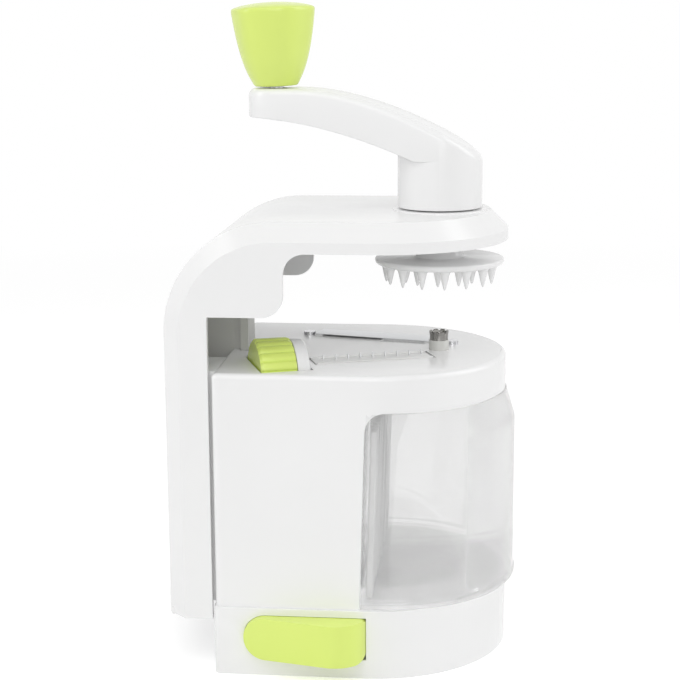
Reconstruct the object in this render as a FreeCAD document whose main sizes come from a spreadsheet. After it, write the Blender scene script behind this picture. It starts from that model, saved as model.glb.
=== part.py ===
import FreeCAD, Part
import math
import os

# A hand-cranked spiralizer: a suction foot, a housing with a blade deck and a catch container,
# and a press arm that slides on the housing's back and carries the crank and its spiked disc.
# +X points to the container, +Z up. The origin lies under the centre of the round front,
# on the surface that the foot stands on.

doc = FreeCAD.newDocument("spiralizer")

# ---- driving dimensions, millimetres and degrees ---------------------------------------------

driving = {
    "bodyRadius": 61.0,         # round front of the housing, and half its width
    "bodyRear": 68.4,           # flat back of the housing
    "deckRadius": 61.0,         # body radius for which the crank's, roller's and blade's places
                                # and the wheel's size are given
    "wall": 2.8,                # moulded walls
    "slideGap": 0.4,            # gap around slides, lids and the lever
    "runGap": 0.06,             # radial gap of shafts in their bores
    "faceGap": 0.1,             # gap between faces that turn on each other
    "deckHeight": 139.7,
    "deckThick": 4.0,
    "deckRound": 2.5,           # rounding along the deck's rim
    "cornerRound": 3.0,         # upright back corners
    "bandHeight": 16.7,         # skirt of the deck over the container
    "bayTop": -0.2,             # back edge of the container bay, under the band
    "bayFoot": -2.9,            # the same edge at its foot
    "bayRound": 9.0,            # corner between that edge and the band
    "earInner": 25.0,           # guide ears on the housing's back
    "earGap": 1.5,              # from an ear to the arm's flank
    "earDepth": 11.6,
    "earDrop": 0.2,             # top of the ears under the deck
    "baseProud": 1.1,           # how much wider the foot is than the housing
    "baseStep": 0.6,            # how much longer it is at the back
    "baseHeight": 32.0,
    "baseTop": 3.0,             # thickness of the foot's top
    "armInset": 1.5,            # how much narrower the arm is than the housing
    "armCentre": 1.7,           # centre of its round nose
    "armWall": 3.0,
    "armRise": 66.2,            # top of the arm over the deck
    "plateDepth": 13.0,         # thickness of the arm's plate
    "columnGap": 1.5,           # from the housing's back to the column
    "columnDepth": 20.9,
    "columnFoot": 25.0,
    "footDepth": 9.5,           # floor of the column, from its back
    "bendRadius": 50.0,
    "armChamfer": 8.0,
    "shoulderFront": 36.1,
    "shoulderDepth": 28.2,      # how far the shoulder hangs under the plate
    "shoulderRound": 9.5,
    "coverThick": 2.5,
    "coverBack": 32.1,          # back edge of the cover, behind the arm's centre
    "coverScrewBack": 20.0,
    "coverScrewSide": 15.5,     # rear screws of the cover, from the arm's sides
    "coverScrewNose": 17.2,     # front screws, from its round nose
    "coverScrewNear": 20.0,
    "railHalf": 6.0,            # web of the slide rail
    "railHead": 10.0,           # half width of its head
    "railHeadDepth": 3.6,
    "railDepth": 9.0,           # how far the rail reaches into the housing
    "railOver": 15.3,           # how far it stands over the deck
    "railLength": 99.0,
    "railEnd": 10.0,            # from the rail's ends to its screws
    "crankOut": 29.5,           # crank axis, which the coring tube shares
    "discRadius": 30.2,
    "discDrop": 9.3,            # from the arm's underside to the disc
    "discThick": 3.2,
    "discRound": 2.2,           # lower rim of the disc
    "discBoss": 10.5,
    "spikeLength": 8.6,
    "spikeRadius": 2.0,
    "spikeTip": 0.4,
    "spikeSunk": 0.5,
    "outerRing": 24.6,          # radii of the two rings of spikes
    "innerRing": 15.8,
    "shaftRadius": 4.0,
    "shaftGrip": 22.0,          # how far the shaft reaches into the crank
    "bushRadius": 7.0,
    "washerRadius": 11.0,
    "washerThick": 0.5,
    "hubRadius": 19.5,
    "hubLift": 1.2,             # foot of the hub over the arm
    "hubRing": 22.0,            # low raised ring of the arm under the hub
    "crankThrow": 75.4,
    "crankRise": 54.2,          # top of the crank over the hub's foot
    "crankEnd": 12.8,           # end radius of the crank
    "crankEndThick": 13.1,
    "crankFlat": 63.5,          # from the crank axis to where its flat top ends
    "crankKnee": 21.0,          # from the axis to where the curve meets the slope
    "kneeDrop": 9.6,
    "frontDrop": 28.4,          # fall of the slope at the hub's front
    "frontRound": 4.2,
    "crankFall": 101.0,         # radius of the curve between flat top and slope
    "archStart": 81.5,          # from the axis to where the hollow underside starts
    "archFoot": 30.2,           # fall of the underside where it meets the hub
    "crankArch": 166.0,         # radius of that underside
    "knobTilt": 2.0,
    "knobFoot": 10.6,           # radius of the grip's foot
    "knobRim": 19.4,
    "knobBelly": 90.0,          # radius of its swelling flank
    "knobHeight": 36.1,
    "knobDome": 2.6,
    "knobEdge": 1.5,            # rounding of its rim and foot
    "knobRoof": 7.0,            # solid top of the grip over its bore
    "knobGap": 0.8,
    "spindleRadius": 4.0,       # root of the spindle
    "pinionRadius": 3.2,        # the pin that the grip turns on
    "pinionLength": 27.0,
    "spindleDepth": 7.6,
    "spindleSink": 2.0,         # where the lean starts, under the crank's top
    "containerCentre": 4.7,     # centre of the container's round front
    "containerLift": 0.3,       # gap under it
    "shoulderFall": 13.6,       # from the container's rim down to its shoulder
    "containerTaper": 4.3,
    "containerWall": 2.2,
    "beadProud": 1.2,
    "beadHeight": 4.2,
    "beadBack": 0.4,            # the bead's centre behind the container's
    "tubeRadius": 4.7,
    "tubeWall": 0.8,
    "tubeHeight": 8.9,
    "tubeSunk": 4.0,            # how far the tube reaches under the deck
    "tubeBoss": 2.0,            # wall of the boss around it
    "rollerAngle": 20.3,        # the comb roller's axis, seen from above
    "wheelBack": 16.5,          # the wheel's outer end from the housing's back
    "wheelSide": 20.5,          # and from its side
    "rollerDrop": 6.7,          # axis below the deck
    "rollerHalf": 6.6,          # half side of the square comb cassette
    "rollerStart": 27.5,        # from the wheel's outer end to the cassette
    "cassetteLength": 55.0,
    "wheelSize": 18.3,          # radius of the ribbed wheel
    "wheelLength": 16.4,
    "wheelGap": 0.7,
    "troughWall": 1.4,
    "ribGroove": 1.2,
    "collarLength": 6.2,
    "collarDrop": 0.8,
    "axleRadius": 3.0,
    "bearingRadius": 5.0,
    "bearingLength": 4.0,
    "combGap": 1.1,             # room around the turning combs
    "combMouth": 1.0,           # gap beside the cassette in the deck
    "combLift": 0.3,            # foot of the comb well over the container's bay
    "toothHeight": 2.4,
    "toothThick": 0.9,
    "toothDepth": 6.0,
    "toothEnd": 1.5,            # from the cassette's ends to its last teeth
    "bladeAngle": -14.0,
    "bladeOut": -1.6,           # middle of the slicing blade
    "bladeSide": 26.6,
    "bladeLength": 60.0,
    "bladeWidth": 13.0,
    "bladeThick": 0.8,
    "bladeTilt": 3.0,
    "rampLength": 4.0,          # ramps that carry the blade's ends
    "rampDepth": 3.0,
    "slotStart": 4.0,           # the slot under the blade, from its middle
    "slotWidth": 7.0,
    "slotAhead": 3.0,           # how far the slot opens in front of the blade
    "studLeft": 33.6,           # screws at the blade's ends, from its middle
    "studRight": 39.0,
    "studSide": 4.0,
    "studLength": 3.2,
    "leverPinX": -14.0,
    "leverPinIn": 3.3,          # the pin, from the foot's side
    "leverNose": 14.2,
    "leverReach": 41.0,         # from the pin to the lever's tip
    "leverTilt": 13.0,
    "leverThick": 19.0,
    "leverFoot": 9.2,
    "leverDepth": 5.6,          # how deep the lever lies in its pocket
    "leverRoom": 6.2,           # depth of the pocket
    "pocketWall": 2.2,
    "lugProud": 1.5,            # the pin's lug around the lever's nose
    "pinRadius": 1.5,
    "pinCover": 1.2,
    "forkHeight": 13.1,
    "forkThick": 3.0,
    "forkHalf": 5.0,
    "forkGap": 0.6,
    "padRadius": 43.5,
    "padHub": 12.0,
    "padHeight": 11.6,
    "padFlare": 5.6,            # height of the pad where it meets its hub
    "padSkin": 1.6,
    "padRoof": 3.0,
    "padCavity": 9.6,
    "plateFoot": 10.6,
    "plateThick": 2.0,
    "plateRelief": 2.5,         # the bottom plate's cut around the lever's lug
    "stemRadius": 3.0,
    "stemDisc": 2.0,
    "stemHead": 8.0,
    "stemCollar": 2.4,
    "stemPlay": 0.8,
    "stemOver": 0.5,
    "seatDepth": 2.5,
    "springWire": 0.45,
    "springRoom": 1.3,
    "screwRadius": 1.6,
    "screwHead": 3.0,
    "headThick": 1.6,
    "screwLength": 7.0,
    "screwBoss": 2.2,           # wall around a screw
    "screwIn": 13.0,            # rear screws of the bottom plate, from the foot's back
    "screwWide": 22.1,          # and from its sides
    "screwFront": 20.1,         # front screws, from the foot's round front
    "screwSide": 28.1,          # and from its sides
}

sheet = doc.addObject("Spreadsheet::Sheet", "Sizes")
for row, (alias, number) in enumerate(driving.items(), start=1):
    sheet.set("A%d" % row, alias)
    sheet.set("B%d" % row, str(number))
    sheet.setAlias("B%d" % row, alias)
doc.recompute()


class Size:
    """A length that carries both its number and the sheet formula that drives it."""

    def __init__(self, number, text):
        self.number = float(number)
        self.text = text

    def joined(self, number, sign, other, turned=False):
        other_text = other.text if isinstance(other, Size) else repr(other)
        left, right = (other_text, self.text) if turned else (self.text, other_text)
        return Size(number, "(%s %s %s)" % (left, sign, right))

    def __add__(self, other):
        return self.joined(self.number + float(other), "+", other)

    def __radd__(self, other):
        return self.joined(float(other) + self.number, "+", other, turned=True)

    def __sub__(self, other):
        return self.joined(self.number - float(other), "-", other)

    def __rsub__(self, other):
        return self.joined(float(other) - self.number, "-", other, turned=True)

    def __mul__(self, other):
        return self.joined(self.number * float(other), "*", other)

    def __rmul__(self, other):
        return self.joined(float(other) * self.number, "*", other, turned=True)

    def __truediv__(self, other):
        return self.joined(self.number / float(other), "/", other)

    def __neg__(self):
        return Size(-self.number, "(0 - %s)" % self.text)

    def __float__(self):
        return self.number


class Sizes:
    """The sheet's cells by name."""

    def __init__(self, table):
        for alias, number in table.items():
            setattr(self, alias, Size(number, "Sizes." + alias))


d = Sizes(driving)

# sizes that follow from the driving ones
d.baseRadius = d.bodyRadius + d.baseProud
d.baseRear = d.bodyRear + d.baseStep
d.baseCeiling = d.baseHeight - d.baseTop
d.plateTop = d.plateFoot + d.plateThick
d.ceiling = d.deckHeight - d.deckThick
d.bandFoot = d.deckHeight - d.bandHeight
d.containerTop = d.bandFoot - d.slideGap
d.armRadius = d.bodyRadius - d.armInset
d.armTop = d.deckHeight + d.armRise
d.plateUnder = d.armTop - d.plateDepth
d.coverTop = d.plateUnder + d.coverThick
d.columnFront = d.bodyRear + d.columnGap
d.columnRear = d.columnFront + d.columnDepth
d.shoulderFoot = d.plateUnder - d.shoulderDepth
d.railTop = d.deckHeight + d.railOver
d.railFoot = d.railTop - d.railLength
d.discTop = d.plateUnder - d.discDrop
d.discFoot = d.discTop - d.discThick
d.hubFoot = d.armTop + d.hubLift
d.crankHigh = d.hubFoot + d.crankRise
d.deckScale = d.bodyRadius / d.deckRadius
d.crankX = d.crankOut * d.deckScale
d.crankTip = d.crankX - d.crankThrow
d.leverPinY = d.leverPinIn - d.baseRadius
d.leverTip = d.leverPinX - d.leverReach
d.leverMiddle = d.leverFoot + d.leverThick / 2
d.leverFloor = d.leverFoot - d.slideGap
d.pocketBack = d.leverRoom - d.baseRadius
d.springSeat = d.baseCeiling - d.seatDepth
d.stemHeadFoot = d.forkHeight + d.forkThick + d.stemPlay
d.bladeX = d.bladeOut * d.deckScale
d.bladeY = d.bladeSide * d.deckScale
d.wheelRadius = d.wheelSize * d.deckScale
d.rollerLength = d.cassetteLength * d.deckScale
d.rollerX = d.wheelBack * d.deckScale - d.bodyRear
d.rollerY = d.wheelSide * d.deckScale - d.bodyRadius
d.combEnd = d.rollerStart + d.rollerLength + d.combGap

OVER = 1.0      # how far a cutter reaches past the face that it opens
FAR = 200.0     # longer than any cut through the whole part


def along(angle, length, sideways=0.0):
    """X and Y steps of a move along a bearing, and to its left."""
    turn = math.radians(float(angle))
    forward, left = float(length), float(sideways)
    return (forward * math.cos(turn) - left * math.sin(turn),
            forward * math.sin(turn) + left * math.cos(turn))


# ---- small builders --------------------------------------------------------------------------

def bind(thing, **sizes):
    for prop, size in sizes.items():
        name = prop.replace("_", ".")
        if isinstance(size, Size):
            thing.setExpression(name, size.text)
        else:
            thing.setExpression(name, repr(float(size)))
    return thing


def place(thing, x=0.0, y=0.0, z=0.0, turn=None):
    """Put a thing at x, y, z; turn is (axis, degrees)."""
    if turn is not None:
        axis, angle = turn
        thing.Placement = FreeCAD.Placement(FreeCAD.Vector(0, 0, 0),
                                            FreeCAD.Rotation(FreeCAD.Vector(*axis), float(angle)))
    return bind(thing, Placement_Base_x=x, Placement_Base_y=y, Placement_Base_z=z)


def box(name, low, size):
    solid = doc.addObject("Part::Box", name)
    bind(solid, Length=size[0], Width=size[1], Height=size[2])
    return place(solid, *low)


def spanBox(name, low, high):
    return box(name, low, [high[i] - low[i] for i in range(3)])


def rod(name, radius, height, x=0.0, y=0.0, z=0.0, turn=None):
    solid = doc.addObject("Part::Cylinder", name)
    bind(solid, Radius=radius, Height=height)
    return place(solid, x, y, z, turn)


def cone(name, foot, top, height, x=0.0, y=0.0, z=0.0):
    solid = doc.addObject("Part::Cone", name)
    bind(solid, Radius1=foot, Radius2=top, Height=height)
    return place(solid, x, y, z)


def fuse(name, *solids):
    joined = doc.addObject("Part::MultiFuse", name)
    joined.Shapes = list(solids)
    return joined


def cut(name, base, *tools):
    result = doc.addObject("Part::Cut", name)
    result.Base = base
    result.Tool = tools[0] if len(tools) == 1 else fuse(name + "_tools", *tools)
    return result


def common(name, first, second):
    result = doc.addObject("Part::MultiCommon", name)
    result.Shapes = [first, second]
    return result


def finishEdges(kind, name, base, size, wanted):
    """Round or chamfer the edges of base that wanted picks."""
    doc.recompute()
    chosen = [(number, float(size), float(size))
              for number, edge in enumerate(base.Shape.Edges, start=1) if wanted(edge)]
    if not chosen:
        raise RuntimeError("no edge found for %s on %s %s" % (name, base.Name, base.State))
    result = doc.addObject(kind, name)
    result.Base = base
    result.Edges = chosen
    return result


def roundEdges(name, base, radius, wanted):
    return finishEdges("Part::Fillet", name, base, radius, wanted)


def chamferEdges(name, base, size, wanted):
    return finishEdges("Part::Chamfer", name, base, size, wanted)


def near(value, target, slack=0.01):
    return abs(value - float(target)) < slack


def flatAt(edge, height):
    """True for an edge that lies wholly at one height."""
    span = edge.BoundBox
    return near(span.ZMin, height) and near(span.ZMax, height)


def uprightAt(edge, x, y, slack=0.05):
    """True for a vertical edge through x, y."""
    span = edge.BoundBox
    return (near(span.XMin, x, slack) and near(span.XMax, x, slack)
            and near(span.YMin, y, slack) and near(span.YMax, y, slack) and span.ZLength > slack)


# An outline is a list of runs. (x, y) is a straight run to that corner, and (x, y, radius) an arc:
# a positive radius turns left, a negative one right. The first run comes from the last corner.

def arcCentre(start, end, radius):
    middle = (start + end) * 0.5
    half = (end - start) * 0.5
    rise = math.sqrt(max(radius * radius - half.Length ** 2, 0.0))
    across = FreeCAD.Vector(-half.y, half.x, 0).normalize()
    return middle + across * rise * (1 if radius > 0 else -1)


def arcRun(start, end, radius):
    centre = arcCentre(start, end, radius)
    first, last = (start, end) if radius > 0 else (end, start)
    angles = [math.atan2(point.y - centre.y, point.x - centre.x) for point in (first, last)]
    circle = Part.Circle(centre, FreeCAD.Vector(0, 0, 1), abs(radius))
    return Part.ArcOfCircle(circle, angles[0], angles[1])


CENTRE = 3      # the Sketcher's number for an arc's centre


def arcHold(before, run):
    """What fixes an arc between its ends: its radius, or its centre where it is a half circle."""
    wide, tall = float(run[0]) - float(before[0]), float(run[1]) - float(before[1])
    if abs(math.hypot(wide, tall) / 2 - abs(float(run[2]))) > 1e-6:
        return "Radius", (run[2] if float(run[2]) > 0 else -run[2])
    if abs(wide) < abs(tall):
        return "DistanceX", (before[0] + run[0]) / 2
    return "DistanceY", (before[1] + run[1]) / 2


def drawOutline(sketch, runs):
    """Draw a closed outline whose corners and radii follow the sheet."""
    import Sketcher
    corners = [FreeCAD.Vector(float(run[0]), float(run[1]), 0) for run in runs]
    ends = []
    for number, run in enumerate(runs):
        start, end = corners[number - 1], corners[number]
        if len(run) == 2:
            piece = Part.LineSegment(start, end)
            ends.append((1, 2))
        else:
            piece = arcRun(start, end, float(run[2]))
            ends.append((1, 2) if float(run[2]) > 0 else (2, 1))
        sketch.addGeometry(piece, False)
    for number, run in enumerate(runs):
        following = (number + 1) % len(runs)
        sketch.addConstraint(Sketcher.Constraint("Coincident", number, ends[number][1],
                                                 following, ends[following][0]))
        for kind, size in (("DistanceX", run[0]), ("DistanceY", run[1])):
            index = sketch.addConstraint(Sketcher.Constraint(kind, number, ends[number][1],
                                                             float(size)))
            if isinstance(size, Size):
                sketch.setExpression("Constraints[%d]" % index, size.text)
        if len(run) == 3:
            kind, size = arcHold(runs[number - 1], run)
            if kind == "Radius":
                held = Sketcher.Constraint(kind, number, float(size))
            else:
                held = Sketcher.Constraint(kind, number, CENTRE, float(size))
            index = sketch.addConstraint(held)
            if isinstance(size, Size):
                sketch.setExpression("Constraints[%d]" % index, size.text)


def outline(name, plane, runs, offset=0.0):
    """A free sketch on XY at a height, or on XZ."""
    sketch = doc.addObject("Sketcher::SketchObject", name)
    if plane == "XZ":
        place(sketch, 0.0, offset, 0.0, turn=((1, 0, 0), 90))
    else:
        place(sketch, 0.0, 0.0, offset)
    drawOutline(sketch, runs)
    return sketch


def extrude(name, sketch, direction, length, symmetric=False):
    solid = doc.addObject("Part::Extrusion", name)
    solid.Base = sketch
    solid.DirMode = "Custom"
    solid.Dir = FreeCAD.Vector(*direction)
    solid.Solid = True
    solid.Symmetric = symmetric
    return bind(solid, LengthFwd=length)


def revolve(name, runs):
    """Turn a half profile, drawn in X and Z, about the Z axis."""
    solid = doc.addObject("Part::Revolution", name)
    solid.Source = outline(name + "_half", "XZ", runs)
    solid.Axis = FreeCAD.Vector(0, 0, 1)
    solid.Angle = 360
    solid.Solid = True
    return solid


def plan(radius, rear, centre=0.0):
    """The D-shaped outline that the housing, the base and the container share."""
    return [(-rear, -radius), (centre, -radius), (centre, radius, radius), (-rear, radius)]


def block(name, runs, bottom, top):
    return extrude(name, outline(name + "_plan", "XY", runs, bottom), (0, 0, 1), top - bottom)


def cornered(name, radius, rear, bottom, top):
    """A D-shaped block whose two upright back corners are rounded."""
    return roundEdges(name, block(name + "_block", plan(radius, rear), bottom, top), d.cornerRound,
                      lambda edge: any(uprightAt(edge, -float(rear), side * float(radius))
                                       for side in (-1, 1)))


def group(name, solids):
    compound = doc.addObject("Part::Compound", name)
    compound.Links = solids
    return compound


def screw(name, length, x, y, z, turn=None):
    """A screw pointing up whose head lies under z, or turned another way."""
    head = rod(name + "_head", d.screwHead, d.headThick, z=-d.headThick)
    shank = rod(name + "_shank", d.screwRadius, length)
    return place(group(name, [fuse(name + "_solid", head, shank)]), x, y, z, turn)


def newBody(name):
    return doc.addObject("PartDesign::Body", name)


def bodySketch(body, name, runs, height=0.0):
    """A sketch on the body's own XY plane, lifted to a height."""
    sketch = body.newObject("Sketcher::SketchObject", name)
    ground = [item for item in body.Origin.OriginFeatures if item.Role == "XY_Plane"][0]
    sketch.AttachmentSupport = [(ground, "")]
    sketch.MapMode = "FlatFace"
    drawOutline(sketch, runs)
    bind(sketch, AttachmentOffset_Base_z=height)
    return sketch


def pad(body, name, runs, height, length):
    feature = body.newObject("PartDesign::Pad", name)
    feature.Profile = bodySketch(body, name + "_sketch", runs, height)
    bind(feature, Length=length)
    doc.recompute()
    return feature


def pocket(body, name, runs, height, length):
    """Cut upwards from a height, and check that it cut something."""
    before = body.Shape.Volume
    feature = body.newObject("PartDesign::Pocket", name)
    feature.Profile = bodySketch(body, name + "_sketch", runs, height)
    feature.Reversed = True
    bind(feature, Length=length)
    doc.recompute()
    if not body.Shape.Volume < before:
        raise RuntimeError(name + " cuts nothing")
    return feature


def ring(radius, x=0.0, y=0.0):
    """A full circle as two arcs."""
    return [(x + radius, y, radius), (x - radius, y, radius)]


nodes = {}


def node(name, thing):
    """Keep a finished sub-part under the name that its file gets."""
    thing.Label = name
    nodes[name] = thing
    return thing


# ---- suction foot ----------------------------------------------------------------------------

def screwPlaces():
    """Where the bottom plate is screwed to the foot."""
    back = d.screwIn - d.baseRear
    wide = d.baseRadius - d.screwWide
    front, side = d.baseRadius - d.screwFront, d.baseRadius - d.screwSide
    return [(back, wide), (back, -wide), (front, side), (front, -side)]


def baseShell():
    """The foot's hull, with the lever's pocket and lug and the screw bosses inside."""
    outer = cornered("base_outer", d.baseRadius, d.baseRear, 0.0, d.baseHeight)
    inner = block("base_inner", plan(d.baseRadius - d.wall, d.baseRear - d.wall), -OVER,
                  d.baseCeiling)
    hollow = cut("base_hollow", outer, inner)
    pocketBlock = spanBox("pocket_block", (OVER - d.baseRear, OVER - d.baseRadius,
                                           d.leverFloor - d.wall),
                          (d.leverPinX - d.leverNose + OVER, d.pocketBack + d.pocketWall,
                           d.baseCeiling + OVER))
    lug = common("pin_lug_trim", rod("pin_lug", d.leverNose + d.lugProud, d.leverFloor,
                                     d.leverPinX, d.leverPinY),
                 block("pin_lug_limit", plan(d.baseRadius, d.baseRear), -OVER,
                       d.leverFloor + OVER))
    bosses = [rod("base_boss_%d" % number, d.screwRadius + d.screwBoss,
                  d.baseCeiling - d.plateTop + OVER, x, y, d.plateTop)
              for number, (x, y) in enumerate(screwPlaces(), start=1)]
    springSeat = rod("spring_seat", d.stemHead, d.seatDepth + OVER, z=d.springSeat)
    solid = fuse("base_solid", hollow, pocketBlock, lug, springSeat, *bosses)
    roomHeight = d.leverThick + 2 * d.slideGap
    tipCentre = d.leverTip + d.leverThick / 2
    nose = rod("nose_room", d.leverNose + d.slideGap, roomHeight, d.leverPinX, d.leverPinY,
               d.leverFloor)
    bar = spanBox("bar_room", (tipCentre, -FAR, d.leverFloor),
                  (d.leverPinX, d.pocketBack, d.leverFloor + roomHeight))
    tip = rod("tip_room", d.leverThick / 2 + d.slideGap, FAR, tipCentre, d.pocketBack,
              d.leverMiddle, turn=((1, 0, 0), 90))
    pinHole = rod("pin_hole", d.pinRadius, d.baseHeight - d.pinCover, d.leverPinX, d.leverPinY)
    stemHole = rod("stem_hole", d.stemRadius + d.slideGap, d.seatDepth + d.baseTop / 2 + OVER,
                   z=d.springSeat - OVER)
    taps = [rod("base_tap_%d" % number, d.screwRadius, d.screwLength + OVER, x, y, d.plateFoot)
            for number, (x, y) in enumerate(screwPlaces(), start=1)]
    return cut("base_shell", solid, nose, bar, tip, pinHole, stemHole, *taps)


def bottomPlate():
    body = newBody("bottom_plate_body")
    gap = d.wall + d.slideGap
    below = d.plateFoot - OVER
    through = d.plateThick + 2 * OVER
    reliefX = d.leverPinX + d.leverNose + d.plateRelief
    reliefY = d.leverPinY + d.leverNose + d.plateRelief
    pad(body, "plate_pad", plan(d.baseRadius - gap, d.baseRear - gap), d.plateFoot, d.plateThick)
    pocket(body, "plate_hub", ring(d.padHub + d.slideGap), below, through)
    pocket(body, "plate_lever", [(reliefX, -d.baseRadius), (reliefX, reliefY),
                                 (-d.baseRear, reliefY), (-d.baseRear, -d.baseRadius)],
           below, through)
    for number, (x, y) in enumerate(screwPlaces(), start=1):
        pocket(body, "plate_hole_%d" % number, ring(d.screwRadius + d.slideGap, x, y),
               below, through)
    return body


def baseScrews():
    return group("base_screws", [screw("base_screw_%d" % number, d.screwLength, x, y, d.plateFoot)
                                 for number, (x, y) in enumerate(screwPlaces(), start=1)])


def suctionPad():
    """The soft disc: flat below, with a hollow hub that holds the stem's disc."""
    neck = d.stemRadius + d.slideGap
    roof = d.padHeight - d.padRoof
    return revolve("suction_pad", [
        (0.0, 0.0), (d.padRadius, 0.0), (d.padRadius, d.padSkin), (d.padHub, d.padFlare),
        (d.padHub, d.padHeight), (neck, d.padHeight), (neck, roof), (d.padCavity, roof),
        (d.padCavity, d.padSkin), (0.0, d.padSkin)])


def liftStem():
    """The stem that the lever's fork holds up by its collar."""
    disc = d.padHeight - d.padRoof - d.slideGap - d.stemDisc
    top = d.baseCeiling + d.stemOver
    edge = d.padCavity - d.slideGap
    return revolve("lift_stem", [
        (0.0, disc), (edge, disc), (edge, disc + d.stemDisc), (d.stemRadius, disc + d.stemDisc),
        (d.stemRadius, d.stemHeadFoot), (d.stemHead, d.stemHeadFoot),
        (d.stemHead, d.stemHeadFoot + d.stemCollar), (d.stemRadius, d.stemHeadFoot + d.stemCollar),
        (d.stemRadius, top), (0.0, top)])


def stemSpring():
    """A coil of round wire between the stem's collar and the foot's top."""
    wire = float(d.springWire)
    radius = float(d.stemRadius + d.springRoom) + wire
    foot = float(d.stemHeadFoot + d.stemCollar + d.faceGap) + wire
    rise = float(d.springSeat - d.faceGap) - wire - foot
    turns = 4
    helix = Part.makeHelix(rise / turns, rise, radius)
    section = Part.Wire(Part.Edge(Part.Circle(FreeCAD.Vector(radius, 0, 0),
                                              FreeCAD.Vector(0, 1, 0), wire)))
    spring = doc.addObject("Part::Feature", "stem_spring")
    spring.Shape = Part.Wire(helix.Edges).makePipeShell([section], True, True)
    spring.Placement = FreeCAD.Placement(FreeCAD.Vector(0, 0, foot), FreeCAD.Rotation())
    return spring


def leverPin():
    return rod("lever_pin", d.pinRadius, d.baseHeight - 2 * d.pinCover, d.leverPinX, d.leverPinY,
               d.pinCover / 2)


def suctionLever():
    """The lever's round nose on its pin, its bar along the foot and its fork under the stem."""
    tangent = along(-90 - float(d.leverTilt), d.leverNose)
    startX = d.leverPinX + tangent[0]
    startY = d.leverPinY + tangent[1]
    endY = startY + (startX - d.leverTip) * math.tan(math.radians(float(d.leverTilt)))
    back = d.leverDepth - d.baseRadius
    bar = block("lever_bar", [(d.leverTip, endY), (startX, startY), (d.leverPinX, d.leverPinY),
                              (d.leverPinX, back), (d.leverTip, back)],
                d.leverFoot, d.leverFoot + d.leverThick)
    half = d.leverThick / 2
    side = extrude("lever_side", outline("lever_side_view", "XZ", [
        (d.leverTip + half, d.leverFoot, half), (d.leverPinX, d.leverFoot),
        (d.leverPinX, d.leverFoot + d.leverThick),
        (d.leverTip + half, d.leverFoot + d.leverThick)]), (0, 1, 0), 2 * FAR, symmetric=True)
    nose = rod("lever_nose", d.leverNose, d.leverThick, d.leverPinX, d.leverPinY, d.leverFoot)
    grip = fuse("lever_grip", common("lever_blade", bar, side), nose)
    reach = math.hypot(float(d.leverPinX), float(d.leverPinY))
    heading = math.degrees(math.atan2(-float(d.leverPinY), -float(d.leverPinX)))
    eye = d.stemRadius + d.forkGap
    through = d.forkThick + 2 * OVER
    arm = box("lever_fork_bar", (0.0, -d.forkHalf, 0.0),
              (reach + d.forkHalf, 2 * d.forkHalf, d.forkThick))
    notch = fuse("lever_notch", rod("lever_notch_round", eye, through, reach, 0.0, -OVER),
                 box("lever_notch_way", (reach - eye, -d.forkHalf - OVER, -OVER),
                     (2 * eye, d.forkHalf + OVER, through)))
    fork = place(group("lever_fork_turned", [cut("lever_fork", arm, notch)]),
                 d.leverPinX, d.leverPinY, d.forkHeight, turn=((0, 0, 1), heading))
    bore = rod("lever_bore", d.pinRadius + d.runGap, FAR, d.leverPinX, d.leverPinY)
    return cut("suction_lever", fuse("lever_whole", grip, fork), bore)


# ---- housing ---------------------------------------------------------------------------------

def bayCutter(name, gap):
    """Everything in front of the container bay's slanted, round-cornered back edge."""
    slope = (d.bayTop - d.bayFoot) / (d.bandFoot - d.baseHeight)
    below = d.wall + d.baseTop
    side = outline(name + "_side", "XZ", [
        (d.bayFoot - below * slope + gap, d.baseHeight - below), (FAR, d.baseHeight - below),
        (FAR, d.bandFoot - gap), (d.bayTop + gap, d.bandFoot - gap)])
    return roundEdges(name, extrude(name + "_block", side, (0, 1, 0), 2 * FAR, symmetric=True),
                      d.bayRound - gap,
                      lambda edge: edge.BoundBox.YLength > OVER
                      and near(edge.BoundBox.XMin, d.bayTop + gap)
                      and near(edge.BoundBox.ZMin, d.bandFoot - gap))


def railPlan(rear, gap=0.0):
    """The T-shaped rail seen from above, or its slot when widened by a gap."""
    web, head = d.railHalf + gap, d.railHead + gap
    neck = d.bodyRear - (d.railDepth - d.railHeadDepth) + gap
    end = d.bodyRear - d.railDepth - gap
    return [(-rear, -web), (-neck, -web), (-neck, -head), (-end, -head),
            (-end, head), (-neck, head), (-neck, web), (-rear, web)]


def rollerFrame(thing, forward=0.0):
    """Stand a thing that was built along +X on the roller's axis."""
    x, y = along(d.rollerAngle, forward)
    return place(group(thing.Name + "_on_axis", [thing]), d.rollerX + x, d.rollerY + y,
                 d.deckHeight - d.rollerDrop, turn=((0, 0, 1), d.rollerAngle))


def rollerRod(name, radius, start, length):
    """A rod along the roller's own X axis."""
    return rod(name, radius, length, start, turn=((0, 1, 0), 90))


def bladeFrame(thing):
    """Stand a thing that was built along +X on the deck at the slicing blade's middle."""
    return place(group(thing.Name + "_on_deck", [thing]), d.bladeX, d.bladeY, d.deckHeight,
                 turn=((0, 0, 1), d.bladeAngle))


def bladeTilted(thing):
    """Tilt a thing by the blade's rake, its lower edge just over the deck."""
    rise = math.sin(math.radians(float(d.bladeTilt))) * d.bladeWidth / 2 + d.faceGap
    return bladeFrame(place(group(thing.Name + "_tilted", [thing]), z=rise,
                            turn=((1, 0, 0), -float(d.bladeTilt))))


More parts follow.
